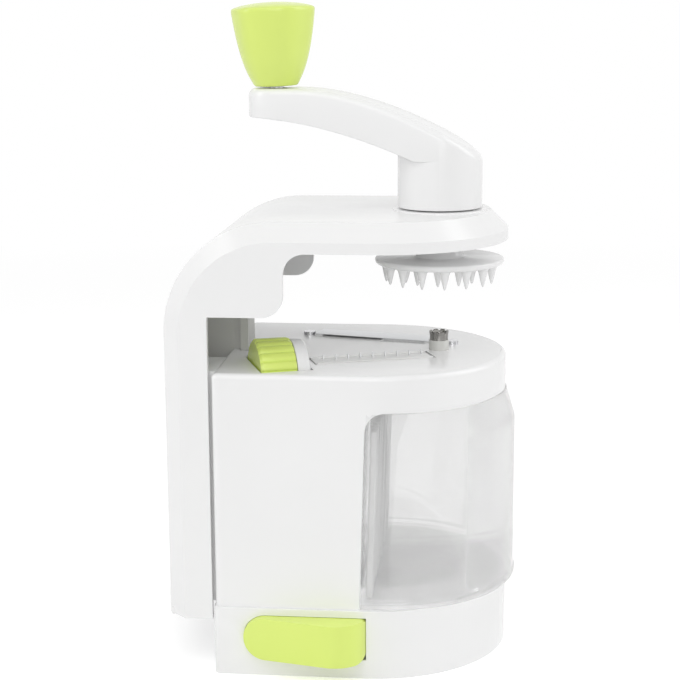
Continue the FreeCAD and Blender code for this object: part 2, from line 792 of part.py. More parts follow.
def bodyHousing():
    """Hull, bulkhead behind the bay, rail slot, wheel trough and comb well."""
    foot, top = d.baseHeight, d.deckHeight
    outer = roundEdges("housing_outer", cornered("housing_corners", d.bodyRadius, d.bodyRear,
                                                 foot, top),
                       d.deckRound, lambda edge: flatAt(edge, top))
    inside = d.bodyRadius - d.wall
    bulkhead = d.bayFoot - d.slideGap - d.wall
    rearRoom = spanBox("rear_room", (d.wall - d.bodyRear, -inside, foot - OVER),
                       (bulkhead - d.wall, inside, d.ceiling))
    frontRoom = block("front_room", plan(inside, -bulkhead), foot - OVER, d.ceiling)
    hollow = cut("housing_hollow", outer, rearRoom, frontRoom, bayCutter("bay", 0.0))
    railSide = d.railHead + d.slideGap + d.wall
    railBlock = spanBox("rail_block", (OVER - d.bodyRear, -railSide, foot),
                        (d.railDepth + d.slideGap + d.wall - d.bodyRear, railSide,
                         d.ceiling + OVER))
    earOuter = d.armRadius - d.armWall - d.earGap
    ears = [spanBox("ear_%d" % number, (-d.bodyRear - d.earDepth, low, foot + d.slideGap),
                    (OVER - d.bodyRear, high, top - d.earDrop))
            for number, (low, high) in enumerate(((-earOuter, -d.earInner),
                                                  (d.earInner, earOuter)), start=1)]
    earRooms = [spanBox("ear_room_%d" % number,
                        (d.wall - d.bodyRear - d.earDepth, low + d.wall,
                         foot + d.slideGap + d.wall),
                        (d.wall + OVER - d.bodyRear, high - d.wall, top - d.earDrop - d.wall))
                for number, (low, high) in enumerate(((-earOuter, -d.earInner),
                                                      (d.earInner, earOuter)), start=1)]
    wheelRoom = d.wheelRadius + d.wheelGap
    roomLength = d.wheelLength + d.collarLength + 2 * d.wheelGap
    troughRadius = wheelRoom + d.troughWall
    underDeck = d.rollerDrop - d.deckThick + OVER
    trough = box("trough", (-d.wheelGap - d.troughWall, -troughRadius, -troughRadius),
                 (roomLength + 2 * d.troughWall, 2 * troughRadius, troughRadius + underDeck))
    troughTrim = common("trough_trim", rollerFrame(trough),
                        spanBox("trough_limit", (OVER - d.bodyRear, OVER - d.bodyRadius, foot),
                                (d.bodyRadius, d.bodyRadius, d.ceiling + OVER)))
    combRoom = d.rollerHalf + d.toothHeight + d.combGap
    wellHalf = combRoom + d.troughWall
    wellStart = roomLength - d.wheelGap
    wellFoot = d.rollerDrop - d.bandHeight + d.combLift
    well = box("comb_well", (wellStart, -wellHalf, wellFoot),
               (d.combEnd + d.bearingLength + d.troughWall - wellStart, 2 * wellHalf,
                underDeck - wellFoot))
    tubeFoot = d.ceiling - d.tubeSunk
    tubeBoss = rod("tube_boss", d.tubeRadius + d.tubeBoss, d.tubeSunk + OVER, d.crankX, 0.0,
                   tubeFoot)
    ramps = [box("ramp_%d" % number, (start, -d.bladeWidth / 2, -d.rampDepth),
                 (d.rampLength, d.bladeWidth, d.rampDepth))
             for number, start in enumerate((-d.bladeLength / 2,
                                             d.bladeLength / 2 - d.rampLength), start=1)]
    solid = fuse("housing_solid", hollow, railBlock, troughTrim, rollerFrame(well), tubeBoss,
                 bladeTilted(group("ramps", ramps)), *ears)
    mouthHalf = d.rollerHalf + d.combMouth
    combStart = d.rollerStart - d.combGap
    openings = [
        block("rail_slot", railPlan(d.bodyRear + d.earDepth + OVER, d.slideGap), foot - OVER,
              top + OVER),
        rollerFrame(rollerRod("wheel_room", wheelRoom, -d.wheelGap, roomLength)),
        rollerFrame(rollerRod("comb_room", combRoom, combStart, d.combEnd - combStart)),
        rollerFrame(box("comb_mouth", (combStart, -mouthHalf, 0.0),
                        (d.combEnd - combStart, 2 * mouthHalf, d.rollerDrop + OVER))),
        rollerFrame(rollerRod("axle_bore", d.axleRadius + d.runGap, 0.0, d.combEnd)),
        rollerFrame(rollerRod("bearing_seat", d.bearingRadius, d.combEnd - OVER,
                              d.bearingLength + OVER)),
        rod("tube_bore", d.tubeRadius, FAR, d.crankX, 0.0, tubeFoot - OVER),
        bladeFrame(box("noodle_slot", (d.slotStart, -d.bladeWidth / 2 - d.slotAhead,
                                       -d.deckThick - OVER),
                       (d.bladeLength / 2 - d.rampLength - d.slotStart, d.slotWidth,
                        d.deckThick + 2 * OVER)))]
    studs = [bladeFrame(rod("stud_hole_%d" % number, d.screwRadius, d.studLength + 2 * OVER,
                            x, y, -d.studLength))
             for number, (x, y) in enumerate(studPlaces(), start=1)]
    return cut("body_housing", solid, *(openings + earRooms + studs))


def studPlaces():
    """The two screws at the blade's ends, from its middle."""
    return [(-d.studLeft, -d.studSide), (d.studRight, -d.studSide)]


def slicingBlade():
    return bladeTilted(box("blade_plate", (-d.bladeLength / 2, -d.bladeWidth / 2, 0.0),
                           (d.bladeLength, d.bladeWidth, d.bladeThick)))


def bladeScrews():
    screws = [screw("blade_screw_%d" % number, d.studLength, x, y, 0.0, turn=((1, 0, 0), 180))
              for number, (x, y) in enumerate(studPlaces(), start=1)]
    return bladeFrame(group("blade_screws", screws))


def coringTube():
    foot = d.ceiling - d.tubeSunk
    length = d.deckHeight + d.tubeHeight - foot
    return cut("coring_tube", rod("tube_outer", d.tubeRadius, length, d.crankX, 0.0, foot),
               rod("tube_inner", d.tubeRadius - d.tubeWall, length + 2 * OVER, d.crankX, 0.0,
                   foot - OVER))


# ---- comb roller -----------------------------------------------------------------------------

def combCassette():
    core = box("cassette_core", (d.rollerStart, -d.rollerHalf, -d.rollerHalf),
               (d.rollerLength, 2 * d.rollerHalf, 2 * d.rollerHalf))
    return rollerFrame(cut("roller_drum", core, rollerRod("cassette_bore", d.axleRadius, 0.0, FAR)))


def combTeeth(name, count, quarter):
    """One comb: a row of upright teeth along one face of the cassette."""
    pitch = (d.rollerLength - 2 * d.toothEnd) / (count - 1)
    first = d.rollerStart + d.toothEnd - d.toothThick / 2
    teeth = [box("%s_%d" % (name, number), (first + pitch * number, -d.toothDepth / 2,
                                            d.rollerHalf),
                 (d.toothThick, d.toothDepth, d.toothHeight))
             for number in range(count)]
    return rollerFrame(place(group(name + "_row", teeth), turn=((1, 0, 0), 90 * quarter)))


def rollerAxle():
    start = d.wheelLength / 4
    end = d.combEnd + d.bearingLength - d.faceGap
    return rollerFrame(rollerRod("roller_axle", d.axleRadius, start, end - start))


def rollerBearing():
    outer = rollerRod("bearing_outer", d.bearingRadius, d.combEnd, d.bearingLength)
    bore = rollerRod("bearing_bore", d.axleRadius + d.runGap, 0.0, FAR)
    return rollerFrame(cut("roller_bearing", outer, bore))


def selectorKnob():
    """The thumb wheel, with grooves along its rim."""
    wheel = rollerRod("wheel_disc", d.wheelRadius, 0.0, d.wheelLength)
    start = d.wheelLength / 4
    bore = rollerRod("wheel_bore", d.axleRadius, start, d.wheelLength)
    grooves = []
    count = 24
    for number in range(count):
        across, up = along(360.0 / count * number, d.wheelRadius + d.ribGroove / 2)
        grooves.append(rod("wheel_groove_%d" % number, d.ribGroove, d.wheelLength + 2 * OVER,
                           -OVER, across, up, turn=((0, 1, 0), 90)))
    return rollerFrame(cut("selector_knob", wheel, bore, *grooves))


def rollerCollar():
    disc = rollerRod("collar_disc", d.wheelRadius - d.collarDrop, d.wheelLength + d.faceGap,
                     d.collarLength - d.faceGap)
    return rollerFrame(cut("roller_collar", disc, rollerRod("collar_bore", d.axleRadius, 0.0, FAR)))


# ---- press arm -------------------------------------------------------------------------------

def armForm(name, inset=0.0):
    """The C-shaped solid of the press arm, or of its hollow when inset by the wall."""
    rear = d.columnRear - inset
    top = d.armTop - inset
    bend = d.bendRadius - inset
    foot = d.columnFoot - 2 * inset
    front = d.columnFront - 2 * inset
    under = d.plateUnder - 2 * inset
    shoulder = d.shoulderFront - 2 * inset
    shoulderFoot = d.shoulderFoot - 2 * inset
    side = outline(name + "_side", "XZ", [
        (-rear, foot), (-front, foot), (-front, shoulderFoot), (-shoulder, shoulderFoot),
        (-shoulder, under), (FAR, under), (FAR, top), (bend - rear, top),
        (-rear, top - bend, bend)])
    web = extrude(name + "_web", side, (0, 1, 0), 2 * FAR, symmetric=True)
    footprint = block(name + "_footprint", plan(d.armRadius - inset, d.columnRear + OVER,
                                                d.armCentre), 0.0, d.armTop + OVER)
    form = common(name + "_form", web, footprint)
    depth = d.armChamfer - (2 - math.sqrt(2)) * inset

    def outerEdge(edge):
        """The chain from the column's back, round the bend and along the top to the nose."""
        span = edge.BoundBox
        onSide = (near(abs(span.YMin), d.armRadius - inset) and near(span.YMin, span.YMax)
                  and (near(span.XMax, -rear) or near(span.ZMin, top)
                       or (near(span.XMin, -rear) and near(span.ZMax, top))))
        atNose = (near(span.ZMin, top) and near(span.ZMax, top) and span.YLength > OVER
                  and span.XMax > float(d.armCentre) + OVER)
        return onSide or atNose

    return chamferEdges(name, form, depth, outerEdge)


def coverPlaces():
    """Where the cover is screwed into the arm."""
    wide = d.armRadius - d.coverScrewSide
    front = d.armCentre + d.armRadius - d.coverScrewNose
    return [(-d.coverScrewBack, wide), (-d.coverScrewBack, -wide),
            (front, d.coverScrewNear), (front, -d.coverScrewNear)]


def railPlaces():
    """Heights of the screws that hold the slide rail."""
    return [d.railFoot + d.railEnd, (d.railFoot + d.railTop) / 2, d.railTop - d.railEnd]


def armShell():
    shoulders = roundEdges("arm_rounded", armForm("arm_outer"), d.shoulderRound,
                           lambda edge: edge.BoundBox.YLength > OVER
                           and near(edge.BoundBox.XMin, -d.shoulderFront)
                           and near(edge.BoundBox.XLength, 0.0)
                           and near(edge.BoundBox.ZLength, 0.0))
    shell = cut("arm_hollow", shoulders, armForm("arm_inner", d.armWall))
    ringFoot = d.armTop - d.armWall / 2
    ringTop = rod("hub_ring", d.hubRing, d.hubFoot - d.washerThick - d.faceGap - ringFoot,
                  d.crankX, 0.0, ringFoot)
    boss = rod("shaft_boss", d.bushRadius + d.armWall, d.armTop - d.coverTop, d.crankX, 0.0,
               d.coverTop)
    posts = [rod("cover_post_%d" % number, d.screwRadius + d.screwBoss,
                 d.armTop - d.coverTop - OVER, x, y, d.coverTop)
             for number, (x, y) in enumerate(coverPlaces(), start=1)]
    floor = spanBox("column_floor", (OVER - d.columnRear, OVER - d.armRadius, d.columnFoot),
                    (d.footDepth + OVER - d.columnRear, d.armRadius - OVER,
                     d.columnFoot + d.armWall))
    floorTrim = common("column_floor_trim", floor, armForm("arm_limit"))
    solid = fuse("arm_solid", shell, ringTop, boss, floorTrim, *posts)
    bushBore = rod("bush_bore", d.bushRadius, FAR, d.crankX, 0.0, d.coverTop - OVER)
    taps = [rod("cover_tap_%d" % number, d.screwRadius, d.screwLength + OVER, x, y, d.plateUnder)
            for number, (x, y) in enumerate(coverPlaces(), start=1)]
    railHoles = [rod("rail_hole_%d" % number, d.screwRadius, d.armWall + 2 * OVER,
                     -d.columnRear - OVER, 0.0, z, turn=((0, 1, 0), 90))
                 for number, z in enumerate(railPlaces(), start=1)]
    return cut("arm_shell", solid, bushBore, *(taps + railHoles))


def armCover():
    """The lid under the arm's plate."""
    body = newBody("arm_cover_body")
    gap = d.armWall + d.slideGap
    below = d.plateUnder - OVER
    through = d.coverThick + 2 * OVER
    pad(body, "cover_pad", plan(d.armRadius - gap, d.coverBack, d.armCentre), d.plateUnder,
        d.coverThick)
    pocket(body, "cover_bore", ring(d.bushRadius + d.slideGap, d.crankX), below, through)
    for number, (x, y) in enumerate(coverPlaces(), start=1):
        pocket(body, "cover_hole_%d" % number, ring(d.screwRadius + d.slideGap, x, y), below,
               through)
    return body


def coverScrews():
    return group("cover_screws", [screw("cover_screw_%d" % number, d.screwLength, x, y,
                                        d.plateUnder)
                                  for number, (x, y) in enumerate(coverPlaces(), start=1)])


def slideRail():
    rear = d.columnRear - d.armWall
    rail = block("rail_bar", railPlan(rear), d.railFoot, d.railTop)
    taps = [rod("rail_tap_%d" % number, d.screwRadius, d.screwLength, -rear - OVER, 0.0, z,
                turn=((0, 1, 0), 90))
            for number, z in enumerate(railPlaces(), start=1)]
    return cut("slide_rail", rail, *taps)


def railScrews():
    return group("rail_screws", [screw("rail_screw_%d" % number, d.screwLength, -d.columnRear,
                                       0.0, z, turn=((0, 1, 0), 90))
                                 for number, z in enumerate(railPlaces(), start=1)])


def shaftBushing():
    foot = d.plateUnder - d.slideGap
    top = d.hubFoot - d.washerThick - d.faceGap
    tube = rod("bushing_tube", d.bushRadius, top - foot, d.crankX, 0.0, foot)
    return cut("shaft_bushing", tube, rod("bushing_bore", d.shaftRadius + d.runGap, FAR,
                                          d.crankX, 0.0, foot - OVER))


# ---- crank -----------------------------------------------------------------------------------

def foodDisc():
    """A plate with a rounded lower rim, a boss above and two rings of spikes below."""
    foot = d.discFoot
    collar = d.discBoss + d.wall / 2
    top = d.plateUnder - 2 * d.slideGap
    plate = place(group("disc_turned", [revolve("disc_plate", [
        (0.0, foot), (d.discRadius - d.discRound, foot),
        (d.discRadius, foot + d.discRound, d.discRound), (d.discRadius, d.discTop),
        (collar, d.discTop), (d.discBoss, top), (0.0, top)])]), d.crankX)
    spikes = []
    for ringName, count, ringRadius, first in (("outer", 15, d.outerRing, -82.0),
                                               ("inner", 10, d.innerRing, -90.0)):
        for number in range(count):
            x, y = along(first + 360.0 / count * number, ringRadius)
            spikes.append(cone("spike_%s_%d" % (ringName, number), d.spikeTip, d.spikeRadius,
                               d.spikeLength + d.spikeSunk, d.crankX + x, y,
                               foot - d.spikeLength))
    bore = rod("disc_bore", d.shaftRadius, FAR, d.crankX, 0.0, foot - OVER)
    return cut("food_disc", fuse("disc_solid", plate, *spikes), bore)


def driveShaft():
    shaft = rod("shaft_rod", d.shaftRadius, d.hubFoot + d.shaftGrip - d.discFoot, d.crankX, 0.0,
                d.discFoot)
    return cut("drive_shaft", shaft, rod("shaft_tap", d.screwRadius, d.screwLength, d.crankX,
                                         0.0, d.discFoot))


def discScrew():
    """The screw under the disc, with a head wide enough to carry it."""
    head = rod("disc_screw_head", d.shaftRadius + d.screwHead, d.headThick, d.crankX, 0.0,
               d.discFoot - d.headThick)
    shank = rod("disc_screw_shank", d.screwRadius, d.screwLength, d.crankX, 0.0, d.discFoot)
    return fuse("disc_screw", head, shank)


def thrustWasher():
    foot = d.hubFoot - d.washerThick
    return cut("thrust_washer", rod("washer_disc", d.washerRadius, d.washerThick, d.crankX, 0.0,
                                    foot),
               rod("washer_bore", d.shaftRadius, FAR, d.crankX, 0.0, foot - OVER))


def crankArm():
    """A round hub and an arm: side view and top view, extruded and met."""
    end, high = d.crankTip, d.crankHigh
    back = end - d.crankEnd
    hubFront = d.crankX + d.hubRadius
    archDrop = d.crankEndThick + d.faceGap
    slope = (d.crankX - d.crankKnee, high - d.kneeDrop)
    nose = [(hubFront, high - d.frontDrop - d.frontRound),
            (hubFront - d.frontRound, high - d.frontDrop, d.frontRound), slope]
    lower = high - d.archFoot - d.frontRound
    armSide = extrude("crank_side", outline("crank_side_view", "XZ", nose + [
        (d.crankX - d.crankFlat, high, d.crankFall), (back, high),
        (back, high - d.crankEndThick), (d.crankX - d.archStart, high - archDrop),
        (d.crankX - d.hubRadius, high - d.archFoot, -d.crankArch),
        (d.crankX, lower), (hubFront, lower)]),
        (0, 1, 0), 2 * FAR, symmetric=True)
    spread = math.asin(float(d.hubRadius - d.crankEnd) / float(d.crankThrow))
    hubTouch = (d.crankX - d.hubRadius * math.sin(spread), d.hubRadius * math.cos(spread))
    endTouch = (end - d.crankEnd * math.sin(spread), d.crankEnd * math.cos(spread))
    armTop = block("crank_top", [
        (endTouch[0], -endTouch[1], d.crankEnd), (hubTouch[0], -hubTouch[1]),
        (hubFront, 0.0, d.hubRadius), (hubTouch[0], hubTouch[1], d.hubRadius),
        (endTouch[0], endTouch[1]), (back, 0.0, d.crankEnd)],
        d.hubFoot - OVER, high + OVER)
    hubBack = d.crankX - d.hubRadius - OVER
    hubSide = extrude("crank_hub_side", outline("crank_hub_view", "XZ", nose + [
        (hubBack, high - d.kneeDrop), (hubBack, d.hubFoot), (hubFront, d.hubFoot)]),
        (0, 1, 0), 2 * FAR, symmetric=True)
    hub = common("crank_hub", rod("crank_hub_round", d.hubRadius, FAR, d.crankX, 0.0,
                                  d.hubFoot - OVER), hubSide)
    form = fuse("crank_form", common("crank_bar", armSide, armTop), hub)
    shaftHole = rod("crank_shaft_hole", d.shaftRadius, d.shaftGrip + OVER, d.crankX, 0.0,
                    d.hubFoot - OVER)
    rootHole = rod("crank_root_hole", d.spindleRadius, d.spindleDepth + OVER, end, 0.0,
                   high - d.spindleDepth)
    return cut("crank_arm", form, shaftHole, rootHole)


def leaning(thing):
    """Lean a thing that was built upright, about where the spindle leaves the crank."""
    return place(group(thing.Name + "_leaning", [thing]), d.crankTip, 0.0,
                 d.crankHigh - d.spindleSink, turn=((0, 1, 0), -float(d.knobTilt)))


def knobSpindle():
    """The pin that stands in the crank and leans with the grip."""
    root = rod("spindle_root", d.spindleRadius, d.spindleDepth, d.crankTip, 0.0,
               d.crankHigh - d.spindleDepth)
    return fuse("knob_spindle", root, leaning(rod("spindle_pin", d.pinionRadius, d.pinionLength)))


def crankKnob():
    """The grip: a swelling tumbler with a low dome, leaning slightly away from the hub."""
    bore = d.pinionRadius + d.runGap
    foot = d.spindleSink + d.knobGap
    rim = foot + d.knobHeight - d.knobGap - d.knobEdge
    roof = rim - d.knobRoof
    edge = d.knobRim - d.knobEdge
    crown = rim + d.knobEdge
    dome = (edge * edge + d.knobDome * d.knobDome) / (2 * d.knobDome)
    return leaning(revolve("crank_knob", [
        (bore, foot), (d.knobFoot - d.knobEdge, foot),
        (d.knobFoot, foot + d.knobEdge, d.knobEdge), (d.knobRim, rim, d.knobBelly),
        (edge, crown, d.knobEdge), (0.0, crown + d.knobDome, dome), (0.0, roof), (bore, roof)]))


# ---- catch container -------------------------------------------------------------------------

def containerForm(name, inset=0.0):
    """Round front leaning in at the shoulder: the container's outside, or its inside."""
    rear = d.bayRound - d.bayTop
    radius = d.bodyRadius - inset
    shoulder = d.containerTop - d.shoulderFall

    def section(label, centre, height):
        return outline(name + label, "XY", plan(radius, rear, centre), height)

    lower = doc.addObject("Part::Loft", name + "_lower")
    lower.Sections = [section("_foot", d.containerCentre, d.baseHeight + d.containerLift + inset),
                      section("_mid", d.containerCentre, shoulder)]
    upper = doc.addObject("Part::Loft", name + "_upper")
    upper.Sections = [section("_waist", d.containerCentre, shoulder),
                      section("_top", d.containerCentre - d.containerTaper, d.containerTop)]
    for loft in (lower, upper):
        loft.Solid = True
        loft.Ruled = True
    return fuse(name, lower, upper)


def clearContainer():
    """Open at the top, its back wall in line with the bay's edge and a bead along its foot."""
    foot = d.baseHeight + d.containerLift
    back = d.slideGap + d.containerWall
    bead = block("container_bead", plan(d.bodyRadius + d.beadProud, d.bayRound - d.bayTop,
                                        d.containerCentre - d.beadBack),
                 foot, foot + d.beadHeight)
    whole = common("container_whole", fuse("container_body", containerForm("container_outer"),
                                           bead),
                   bayCutter("container_limit", d.slideGap))
    room = common("container_room", containerForm("container_inner", d.containerWall),
                  bayCutter("container_back", back))
    mouth = common("container_mouth",
                   block("mouth_plan", plan(d.bodyRadius - d.containerWall, d.bayRound,
                                            d.containerCentre - d.containerTaper),
                         d.containerTop - back, d.containerTop + OVER),
                   spanBox("mouth_limit", (d.bayTop + back, -FAR, d.containerTop - FAR),
                           (FAR, FAR, d.containerTop + FAR)))
    return cut("clear_container", whole, room, mouth)


# ---- the parts -------------------------------------------------------------------------------

for name, maker in (
        ("base_shell", baseShell),
        ("bottom_plate", bottomPlate),
        ("base_screws", baseScrews),
        ("suction_pad", suctionPad),
        ("lift_stem", liftStem),
        ("stem_spring", stemSpring),
        ("lever_pin", leverPin),
        ("suction_lever", suctionLever),
        ("body_housing", bodyHousing),
        ("slicing_blade", slicingBlade),
        ("blade_screws", bladeScrews),
        ("coring_tube", coringTube),
        ("roller_drum", combCassette),
        ("roller_axle", rollerAxle),
        ("roller_bearing", rollerBearing),
        ("selector_knob", selectorKnob),
        ("roller_collar", rollerCollar),
        ("arm_shell", armShell),
        ("arm_cover", armCover),
        ("cover_screws", coverScrews),
        ("slide_rail", slideRail),
        ("rail_screws", railScrews),
        ("shaft_bushing", shaftBushing),
        ("food_disc", foodDisc),
        ("drive_shaft", driveShaft),
        ("disc_screw", discScrew),
        ("thrust_washer", thrustWasher),
        ("crank_arm", crankArm),
        ("knob_spindle", knobSpindle),
        ("crank_knob", crankKnob),
        ("clear_container", clearContainer)):
    node(name, maker())
for name, count, quarter in (("coarse_comb", 5, 1), ("medium_comb", 9, 0), ("fine_comb", 14, 2)):
    node(name, combTeeth(name, count, quarter))

doc.recompute()
for thing in doc.Objects:
    if "Invalid" in thing.State or "Error" in thing.State:
        raise RuntimeError("%s failed: %s" % (thing.Name, thing.State))
for name, thing in nodes.items():
    if thing.Shape.isNull() or not thing.Shape.isValid() or not thing.Shape.Solids:
        raise RuntimeError(name + " has no valid solid")

os.makedirs("parts", exist_ok=True)
for name, thing in nodes.items():
    thing.Shape.exportStep("parts/%s.step" % name)
    span = thing.Shape.BoundBox
    print("%-16s solids %d  x %.1f..%.1f  y %.1f..%.1f  z %.1f..%.1f" % (
        name, len(thing.Shape.Solids), span.XMin, span.XMax, span.YMin, span.YMax,
        span.ZMin, span.ZMax))
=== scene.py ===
import bmesh
import bpy
import math
from mathutils import Matrix, Vector


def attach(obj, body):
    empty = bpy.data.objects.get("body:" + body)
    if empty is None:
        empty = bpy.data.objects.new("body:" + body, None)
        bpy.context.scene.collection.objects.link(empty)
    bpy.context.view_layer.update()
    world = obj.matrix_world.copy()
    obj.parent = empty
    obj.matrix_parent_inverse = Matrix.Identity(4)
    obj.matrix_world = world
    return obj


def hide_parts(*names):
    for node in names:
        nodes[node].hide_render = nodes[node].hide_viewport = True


# A hand-cranked spiralizer on its suction foot. Sizes are millimetres in the shared frame,
# and every piece is brought to metres when it is finished.

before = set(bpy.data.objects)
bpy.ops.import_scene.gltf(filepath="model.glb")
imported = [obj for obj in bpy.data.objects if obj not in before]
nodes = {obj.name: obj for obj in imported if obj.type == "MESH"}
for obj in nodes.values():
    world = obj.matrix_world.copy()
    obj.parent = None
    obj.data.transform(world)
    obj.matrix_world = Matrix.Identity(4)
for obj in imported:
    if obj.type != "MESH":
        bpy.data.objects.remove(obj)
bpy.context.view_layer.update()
print("frame loaded:", len(nodes), "nodes")

# where the crank's axis and the grip stand along X
axisX, gripX = 29.5, -45.9
# near: places or parts of a normal that count as the same; square: a face across an axis
near, square = 0.01, 0.99
# weld: points this close become one; flat: degrees within which triangles are one face
weld, flat = 0.002, 0.6


class Wire:
    # one socket of a material's tree, usable in sums

    def __init__(self, tree, socket=None):
        self.tree, self.socket = tree, socket

    def node(self, kind, settings, inputs, out=0):
        made = self.tree.nodes.new(kind)
        for name, value in settings.items():
            setattr(made, name, value)
        for name, value in inputs.items():
            socket = made.inputs[name]
            if isinstance(value, Wire):
                self.tree.links.new(value.socket, socket)
            else:
                socket.default_value = value
        return Wire(self.tree, made.outputs[out])

    def math(self, operation, left, right):
        return self.node("ShaderNodeMath", {"operation": operation}, {0: left, 1: right})

    def __add__(self, other):
        return self.math("ADD", self, other)

    def __radd__(self, other):
        return self.math("ADD", other, self)

    def __sub__(self, other):
        return self.math("SUBTRACT", self, other)

    def __rsub__(self, other):
        return self.math("SUBTRACT", other, self)

    def __mul__(self, other):
        return self.math("MULTIPLY", self, other)

    def __rmul__(self, other):
        return self.math("MULTIPLY", other, self)


def newMaterial(name):
    material = bpy.data.materials.new(name)
    material.use_nodes = True
    shader = material.node_tree.nodes["Principled BSDF"]
    return material, shader, Wire(material.node_tree)


def plug(material, shader, **sockets):
    # links varying inputs, and sets the constant ones on the shader's own sockets
    for name, value in sockets.items():
        socket = shader.inputs[name.replace("_", " ")]
        if isinstance(value, Wire):
            material.node_tree.links.new(value.socket, socket)
        else:
            socket.default_value = value


def objectPlace(wire, scale=(1.0, 1.0, 1.0)):
    # a point of the object's own space, stretched along its axes
    place = wire.node("ShaderNodeTexCoord", {}, {}, "Object")
    return wire.node("ShaderNodeMapping", {}, {"Vector": place, "Scale": scale})


def noise(wire, place, scale, detail, rough=0.5):
    return wire.node("ShaderNodeTexNoise", {}, {"Vector": place, "Scale": scale,
                                                "Detail": detail, "Roughness": rough})


def blend(wire, factor, first, second):
    # a colour between two, by a factor
    return wire.node("ShaderNodeMix", {"data_type": "RGBA"},
                     {0: factor, 6: first, 7: second}, 2)


def bump(wire, height, strength, distance):
    return wire.node("ShaderNodeBump", {}, {"Height": height, "Strength": strength,
                                            "Distance": distance})


def tone(red, green, blue):
    # an sRGB colour as the linear one that a socket takes
    def straight(part):
        part /= 255
        return part / 12.92 if part <= 0.04045 else ((part + 0.055) / 1.055) ** 2.4
    return (straight(red), straight(green), straight(blue), 1.0)


# pattern scales are per metre, depths in metres, and shares add to a roughness
mouldSizes = {"cloud": 18.0, "cloudDetail": 4.0, "cloudBump": 0.35, "scuff": 60.0,
              "scuffDetail": 6.0, "scuffRough": 0.65, "scuffStretch": 0.15, "scuffShare": 0.06,
              "grain": 900.0, "grainDetail": 2.0, "grainShare": 0.03, "grainBump": 10.0,
              "depth": 0.0004, "ior": 1.5}


def mouldedPlastic(name, light, dark, roughness, grain=0.012):
    # injection moulded plastic: faint clouds of colour, flow in the gloss, fine grain
    s = mouldSizes
    material, shader, wire = newMaterial(name)
    place = objectPlace(wire)
    clouds = noise(wire, place, s["cloud"], s["cloudDetail"])
    flow = objectPlace(wire, (1.0, 1.0, s["scuffStretch"]))
    scuffs = noise(wire, flow, s["scuff"], s["scuffDetail"], s["scuffRough"])
    fine = noise(wire, place, s["grain"], s["grainDetail"])
    height = clouds * s["cloudBump"] + fine * grain * s["grainBump"]
    plug(material, shader, Base_Color=blend(wire, clouds, dark, light),
         Roughness=roughness + (scuffs - 0.5) * s["scuffShare"] + (fine - 0.5) * s["grainShare"],
         Normal=bump(wire, height, grain, s["depth"]), IOR=s["ior"])
    return material


steelSizes = {"detail": 3.0, "lineRough": 0.7, "stain": 35.0, "lineTone": 0.6, "stainTone": 0.4,
              "lineShare": 0.16, "stainShare": 0.08, "bump": 0.06, "depth": 0.0002}


def drawnSteel(name, light, dark, roughness, along, lines):
    # steel with fine lines that run along one axis and faint stains; on the chrome, whose dark
    # tone is near black, the lines and stains paint dark reflections into the colour
    s = steelSizes
    material, shader, wire = newMaterial(name)
    brushLinesAndPaintedStreaks = noise(wire, objectPlace(wire, along), lines, s["detail"], s["lineRough"])
    stainsAndPaintedBlotches = noise(wire, objectPlace(wire), s["stain"], s["detail"])
    # the tone between the two colours: brushing and stains on the steels, painted dark reflection
    # on the chrome
    wearAndPaintedReflection = brushLinesAndPaintedStreaks * s["lineTone"] + stainsAndPaintedBlotches * s["stainTone"]
    plug(material, shader, Base_Color=blend(wire, wearAndPaintedReflection, dark, light),
         Roughness=(roughness + (brushLinesAndPaintedStreaks - 0.5) * s["lineShare"]
                    + (stainsAndPaintedBlotches - 0.5) * s["stainShare"]),
         Normal=bump(wire, brushLinesAndPaintedStreaks, s["bump"], s["depth"]), Metallic=1.0)
    return material


# wall and rib: the share of light that passes straight, and how much of the rest goes through
clearSizes = {"wall": (0.62, 0.8), "rib": (0.1, 0.2), "haze": 70.0, "hazeDetail": 4.0,
              "hazeShare": 0.08, "edge": 0.7, "edgePower": 3.0, "ripple": 14.0,
              "rippleDetail": 2.0, "rippleBump": 0.05, "depth": 0.001, "rough": 0.03,
              "hazeRough": 0.05, "ior": 1.46, "tones": (229, 237), "tint": 253, "facing": 0.5}


def clearPlastic(name, through, glass):
    # clear container plastic, slightly milky: faint ripples and cloudy gloss, and light passes
    s = clearSizes
    material, shader, wire = newMaterial(name)
    tree = material.node_tree
    place = objectPlace(wire)
    ripples = noise(wire, place, s["ripple"], s["rippleDetail"])
    haze = noise(wire, place, s["haze"], s["hazeDetail"])
    dark, light = (tone(part, part, part) for part in s["tones"])
    plug(material, shader, Base_Color=blend(wire, haze, dark, light),
         Roughness=s["rough"] + haze * s["hazeRough"],
         Normal=bump(wire, ripples, s["rippleBump"], s["depth"]),
         IOR=s["ior"], Transmission_Weight=glass)
    passing = wire.node("ShaderNodeBsdfTransparent", {}, {"Color": tone(*[s["tint"]] * 3)})
    shadow = wire.node("ShaderNodeLightPath", {}, {}, "Is Shadow Ray")
    facing = wire.node("ShaderNodeLayerWeight", {}, {"Blend": s["facing"]}, "Facing")
    gloss = wire.math("POWER", facing, s["edgePower"])
    clearness = through + (haze - 0.5) * s["hazeShare"] - gloss * s["edge"]
    mixed = wire.node("ShaderNodeMixShader", {}, {0: wire.math("MAXIMUM", shadow, clearness)})
    tree.links.new(shader.outputs[0], mixed.socket.node.inputs[1])
    tree.links.new(passing.socket, mixed.socket.node.inputs[2])
    tree.links.new(mixed.socket, tree.nodes["Material Output"].inputs["Surface"])
    return material


